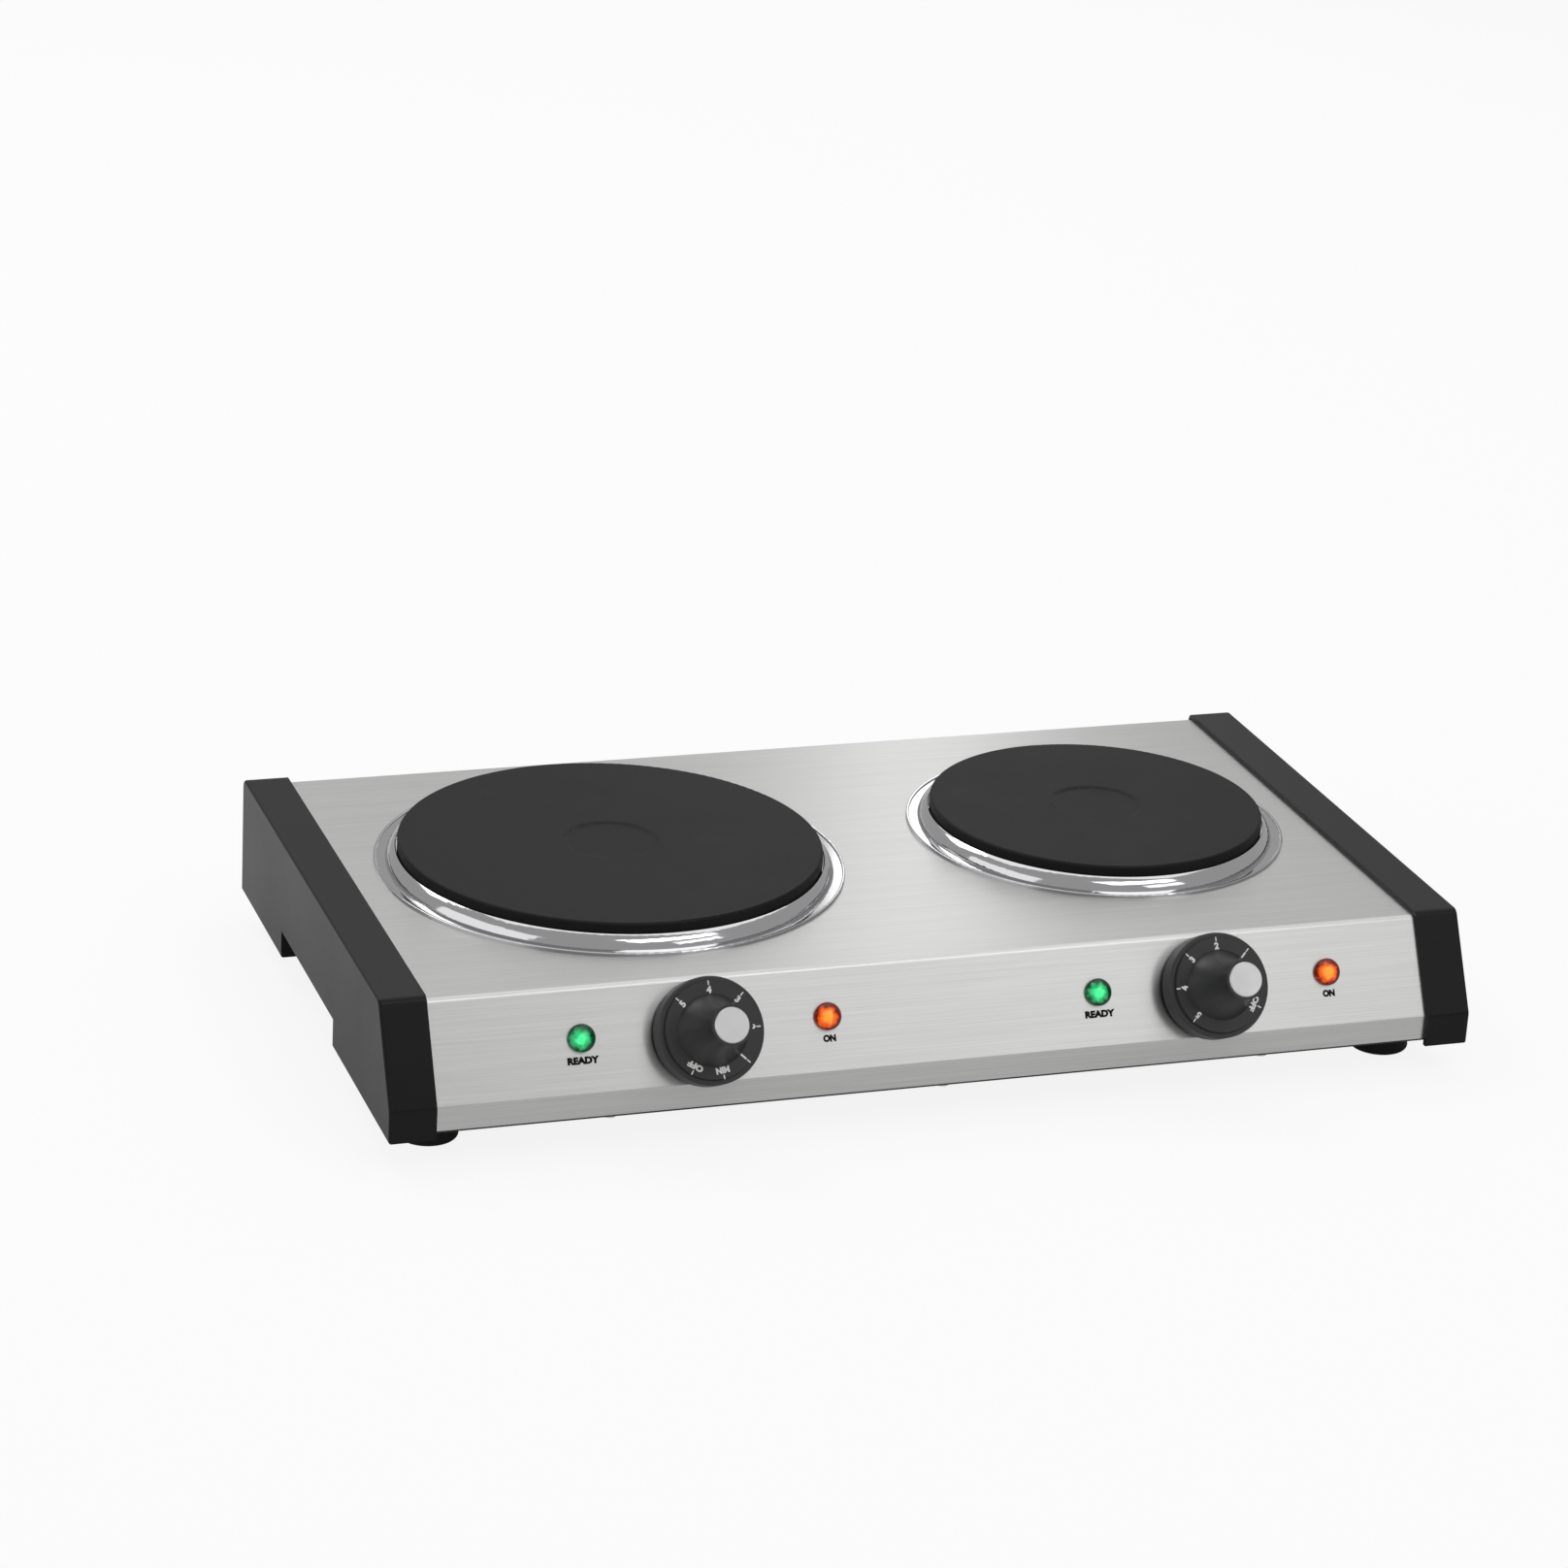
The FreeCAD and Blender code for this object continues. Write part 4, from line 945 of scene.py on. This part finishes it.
@dataclass
class Control:
    """A dial knob with its marks, its bright tip and its shaft.

    The angles of the marks run clockwise from the top, in degrees, before the knob is set back.
    """

    hand: str
    body: Body
    x: float
    set_back: float
    up: float = 21.3
    dial_front: float = 12.8
    ink_lift: float = 0.05
    ink: Colour = (0.82, 0.82, 0.80)
    crisp_angle: float = 30.0
    figures: str = "54321"
    first_figure: float = 315.0
    figure_step: float = 45.0
    min_angle: float = 172.0
    off_angle: float = 213.0
    figure_radius: float = 17.2
    figure_height: float = 3.1
    word_height: float = 2.8
    off_width: float = 7.2
    min_width: float = 6.0
    boldness: float = 0.055

    def build(self, panel: Panel, ticks: TickRing, finisher: Finisher) -> None:
        """Make and dress the knob.

        Args:
            panel: the front that the knob sits on.
            ticks: lays out its ticks.
            finisher: hands out the materials.
        """
        for piece, slot in (("knob", Slot.KNOB_PLASTIC), ("knob_cap", Slot.KNOB_METAL),
                            ("control_shaft", Slot.ZINC_STEEL)):
            add_skin(f"{self.hand}_{piece}", self.body, slot, finisher.of(slot), self.crisp_angle)
        self.mark(panel, ticks, finisher)

    def mark(self, panel: Panel, ticks: TickRing, finisher: Finisher) -> None:
        """Print the dial's ticks, figures and words.

        Args:
            panel: the front that the knob sits on.
            ticks: lays out the ticks.
            finisher: hands out the materials.
        """
        ink = finisher.named("dial_ink", PrintedInk(self.ink))
        dial = panel.place(self.x, self.up, self.dial_front + self.ink_lift)
        widths = {"MIN": self.min_width, "OFF": self.off_width}
        parts = [
            ticks.mesh(len(self.figures), self.first_figure - self.set_back, self.figure_step, ink),
            ticks.mesh(len(widths), self.min_angle - self.set_back, self.off_angle - self.min_angle, ink),
        ]
        for part in parts:
            part.transform(dial)
        labels = {figure: (self.first_figure + count * self.figure_step) % FULL_TURN
                  for count, figure in enumerate(self.figures)}
        labels.update(MIN=self.min_angle, OFF=self.off_angle)
        spot = Matrix.Translation((0.0, self.figure_radius * MM, 0.0))
        for text, angle in labels.items():
            height = self.word_height if text in widths else self.figure_height
            turn = Matrix.Rotation(-math.radians(angle - self.set_back), 4, "Z")
            lettering = Lettering(height, self.boldness)
            parts.append(lettering.word(text, dial @ turn @ spot, widths.get(text)))
        name = f"{self.hand}_dial_marks"
        add_piece(name, joined(parts, name), self.body, Slot.KNOB_PLASTIC, ink)


class Signal(Enum):
    """What a pilot lamp tells."""

    READY = "ready"
    ON = "on"


@dataclass(frozen=True)
class LampStyle:
    """What the pilot lamps of one signal have in common."""

    slot: Slot
    rim: Colour
    body: Colour
    heart: Colour
    word_width: float


LAMP_STYLES: dict[Signal, LampStyle] = {
    Signal.READY: LampStyle(Slot.LENS_GREEN, rim=(0.0, 0.030, 0.009), body=(0.012, 0.32, 0.10),
                            heart=(0.06, 0.80, 0.28), word_width=14.0),
    Signal.ON: LampStyle(Slot.LENS_AMBER, rim=(0.10, 0.003, 0.0), body=(0.75, 0.085, 0.002),
                         heart=(1.0, 0.30, 0.03), word_width=5.8),
}


@dataclass
class PilotLamp:
    """A domed lens with its word printed below it."""

    hand: str
    signal: Signal
    x: float
    up: float = 23.6
    radius: float = 6.0
    heart_aside: float = -1.2
    heart_raise: float = -0.5
    word_up: float = 14.2
    word_height: float = 3.2
    boldness: float = 0.07
    ink_lift: float = 0.06
    ink: Colour = (0.004, 0.004, 0.004)

    def build(self, panel: Panel, finisher: Finisher) -> None:
        """Make and dress the lens and print its word.

        Args:
            panel: the front that the lamp sits on.
            finisher: hands out the materials.
        """
        style = LAMP_STYLES[self.signal]
        name = f"{self.hand}_{self.signal.value}"
        node = name + "_lens"
        heart = panel.place(self.x + self.heart_aside, self.up + self.heart_raise, 0.0).translation
        dyed = DyedLens(style.rim, style.body, style.heart, tuple(heart), math.radians(panel.lean),
                        self.radius * MM)
        add_skin(node, Body.CHASSIS, style.slot, finisher.named(node + "_finish", dyed))
        spot = panel.place(self.x, self.word_up, self.ink_lift)
        lettering = Lettering(self.word_height, self.boldness)
        word = lettering.word(self.signal.name, spot, style.word_width)
        add_piece(name + "_word", word, Body.CHASSIS, Slot.BRUSHED_STEEL,
                  finisher.named("panel_ink", PrintedInk(self.ink)))


# Studio

@dataclass(frozen=True)
class SoftBox:
    """A flat lamp that shines at a point, the middle of the part unless another is given."""

    name: str
    place: Point
    width: float
    height: float
    power: float
    aim: Point = (0.0, 0.0, 0.05)

    def build(self) -> None:
        """Hang the lamp."""
        lamp = bpy.data.lights.new(self.name, "AREA")
        lamp.shape = "RECTANGLE"
        lamp.size = self.width
        lamp.size_y = self.height
        lamp.energy = self.power
        holder = linked(self.name, lamp)
        holder.location = self.place
        beam = Vector(self.aim) - Vector(self.place)
        holder.rotation_euler = beam.to_track_quat("-Z", "Y").to_euler()


SOFT_BOXES: tuple[SoftBox, ...] = (
    SoftBox("overhead", (0.3, 0.8, 2.4), 3.2, 2.0, 19.0),
    SoftBox("front_top", (0.55, -1.45, 2.15), 1.8, 0.9, 13.0),
    SoftBox("front_right", (1.3, -2.3, 1.45), 1.2, 0.8, 4.4),
    SoftBox("back_wide", (0.7, 2.6, 2.3), 3.0, 0.8, 8.0),
    SoftBox("back_strip", (0.86, 2.1, 0.95), 0.16, 1.1, 1.0),
    SoftBox("left_fill", (-2.3, -0.3, 0.8), 2.4, 1.5, 10.0),
    SoftBox("left_floor", (-1.0, 1.6, 1.9), 1.0, 1.0, 13.0, aim=(-0.6, 1.0, 0.0)),
)


@dataclass
class Studio:
    """The pale floor, the room, the soft boxes and the camera."""

    white: Colour = (1.0, 1.0, 1.0)
    floor_half: float = 14.0
    floor_colour: Colour = (0.78, 0.78, 0.78)
    floor_roughness: float = 0.9
    floor_shown: float = 0.88
    floor_mirrored: float = 0.30
    room_shown: float = 1.0
    room_mirrored: float = 0.50
    room_ambient: float = 0.40
    lens: float = 107.967
    sensor: float = 36.0
    sight: Span = (0.05, 60.0)
    eye: Point = (-0.699359, -1.825949, 0.867844)
    right: Point = (0.945867, -0.319879, 0.054895)
    up: Point = (0.068158, 0.361143, 0.930016)

    def build(self) -> None:
        """Set up floor, light and camera."""
        self.lay_floor()
        self.light_room()
        for box in SOFT_BOXES:
            box.build()
        self.set_camera()
        bpy.context.scene.view_settings.view_transform = "Standard"

    def lay_floor(self) -> None:
        """Lay the floor that the feet stand on, which looks near white and keeps a soft shadow."""
        half = self.floor_half
        mesh = bpy.data.meshes.new("floor")
        mesh.from_pydata([(-half, -half, 0), (half, -half, 0), (half, half, 0), (-half, half, 0)],
                         [], [(0, 1, 2, 3)])
        shader = Shader("floor_white")
        shader.principled(base_color=self.floor_colour, roughness=self.floor_roughness,
                          specular_ior_level=0.0)
        glow = shader.node("ShaderNodeEmission", None, {"Color": rgba(self.white), "Strength": 1.0})
        camera, glossy, through = shader.rays()
        share = camera * self.floor_shown + (glossy + through) * self.floor_mirrored
        mixed = shader.node("ShaderNodeMixShader", None,
                            {0: share, 1: shader.surface.outputs[0], 2: glow.outputs[0]})
        shader.feed(shader.output.inputs["Surface"], mixed.outputs[0])
        mesh.materials.append(shader.material)
        floor = linked("floor", mesh)
        floor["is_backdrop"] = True

    def light_room(self) -> None:
        """Light the even room, white to the camera and dimmer as a light."""
        world = bpy.data.worlds.new("room")
        bpy.context.scene.world = world
        world.use_nodes = True
        maker = NodeMaker(world.node_tree)
        camera, glossy, through = maker.rays()
        ambient = self.room_ambient
        strength = (ambient + camera * (self.room_shown - ambient)
                    + (glossy + through) * (self.room_mirrored - ambient))
        room = maker.node("ShaderNodeBackground", None,
                          {"Color": rgba(self.white), "Strength": strength})
        maker.node("ShaderNodeOutputWorld", None, {"Surface": room.outputs[0]})

    def set_camera(self) -> None:
        """Put the camera where the photo was taken from."""
        data = bpy.data.cameras.new("camera")
        data.lens = self.lens
        data.sensor_width = self.sensor
        data.clip_start, data.clip_end = self.sight
        camera = linked("camera", data)
        right, up = Vector(self.right), Vector(self.up)
        turn = Matrix((right, up, right.cross(up))).transposed().to_4x4()
        camera.matrix_world = Matrix.Translation(self.eye) @ turn
        bpy.context.scene.camera = camera


def main() -> None:
    """Build every sub-assembly in order and note the size of the whole."""
    logging.basicConfig(level=logging.INFO, format="%(message)s")
    finisher = Finisher()
    panel = Panel()
    finisher.dress_solids()
    Housing().build(finisher)
    Burner("large", centre_x=-108.6).build(finisher)
    Burner("small", centre_x=125.3).build(finisher)
    ticks = TickRing()
    Control("left", Body.LEFT, x=-108.0, set_back=0.0).build(panel, ticks, finisher)
    Control("right", Body.RIGHT, x=124.7, set_back=90.0).build(panel, ticks, finisher)
    for hand, signal, x in (("left", Signal.READY, -161.95), ("left", Signal.ON, -52.65),
                            ("right", Signal.READY, 71.95), ("right", Signal.ON, 181.25)):
        PilotLamp(hand, signal, x).build(panel, finisher)
    Studio().build()
    boxes = {"solids": solid_box, "dressed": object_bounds()}
    for name, (low, high) in boxes.items():
        log.info("%s: %s mm", name, [round((end - start) / MM, 1) for start, end in zip(low, high)])


if __name__ == "__main__":
    main()
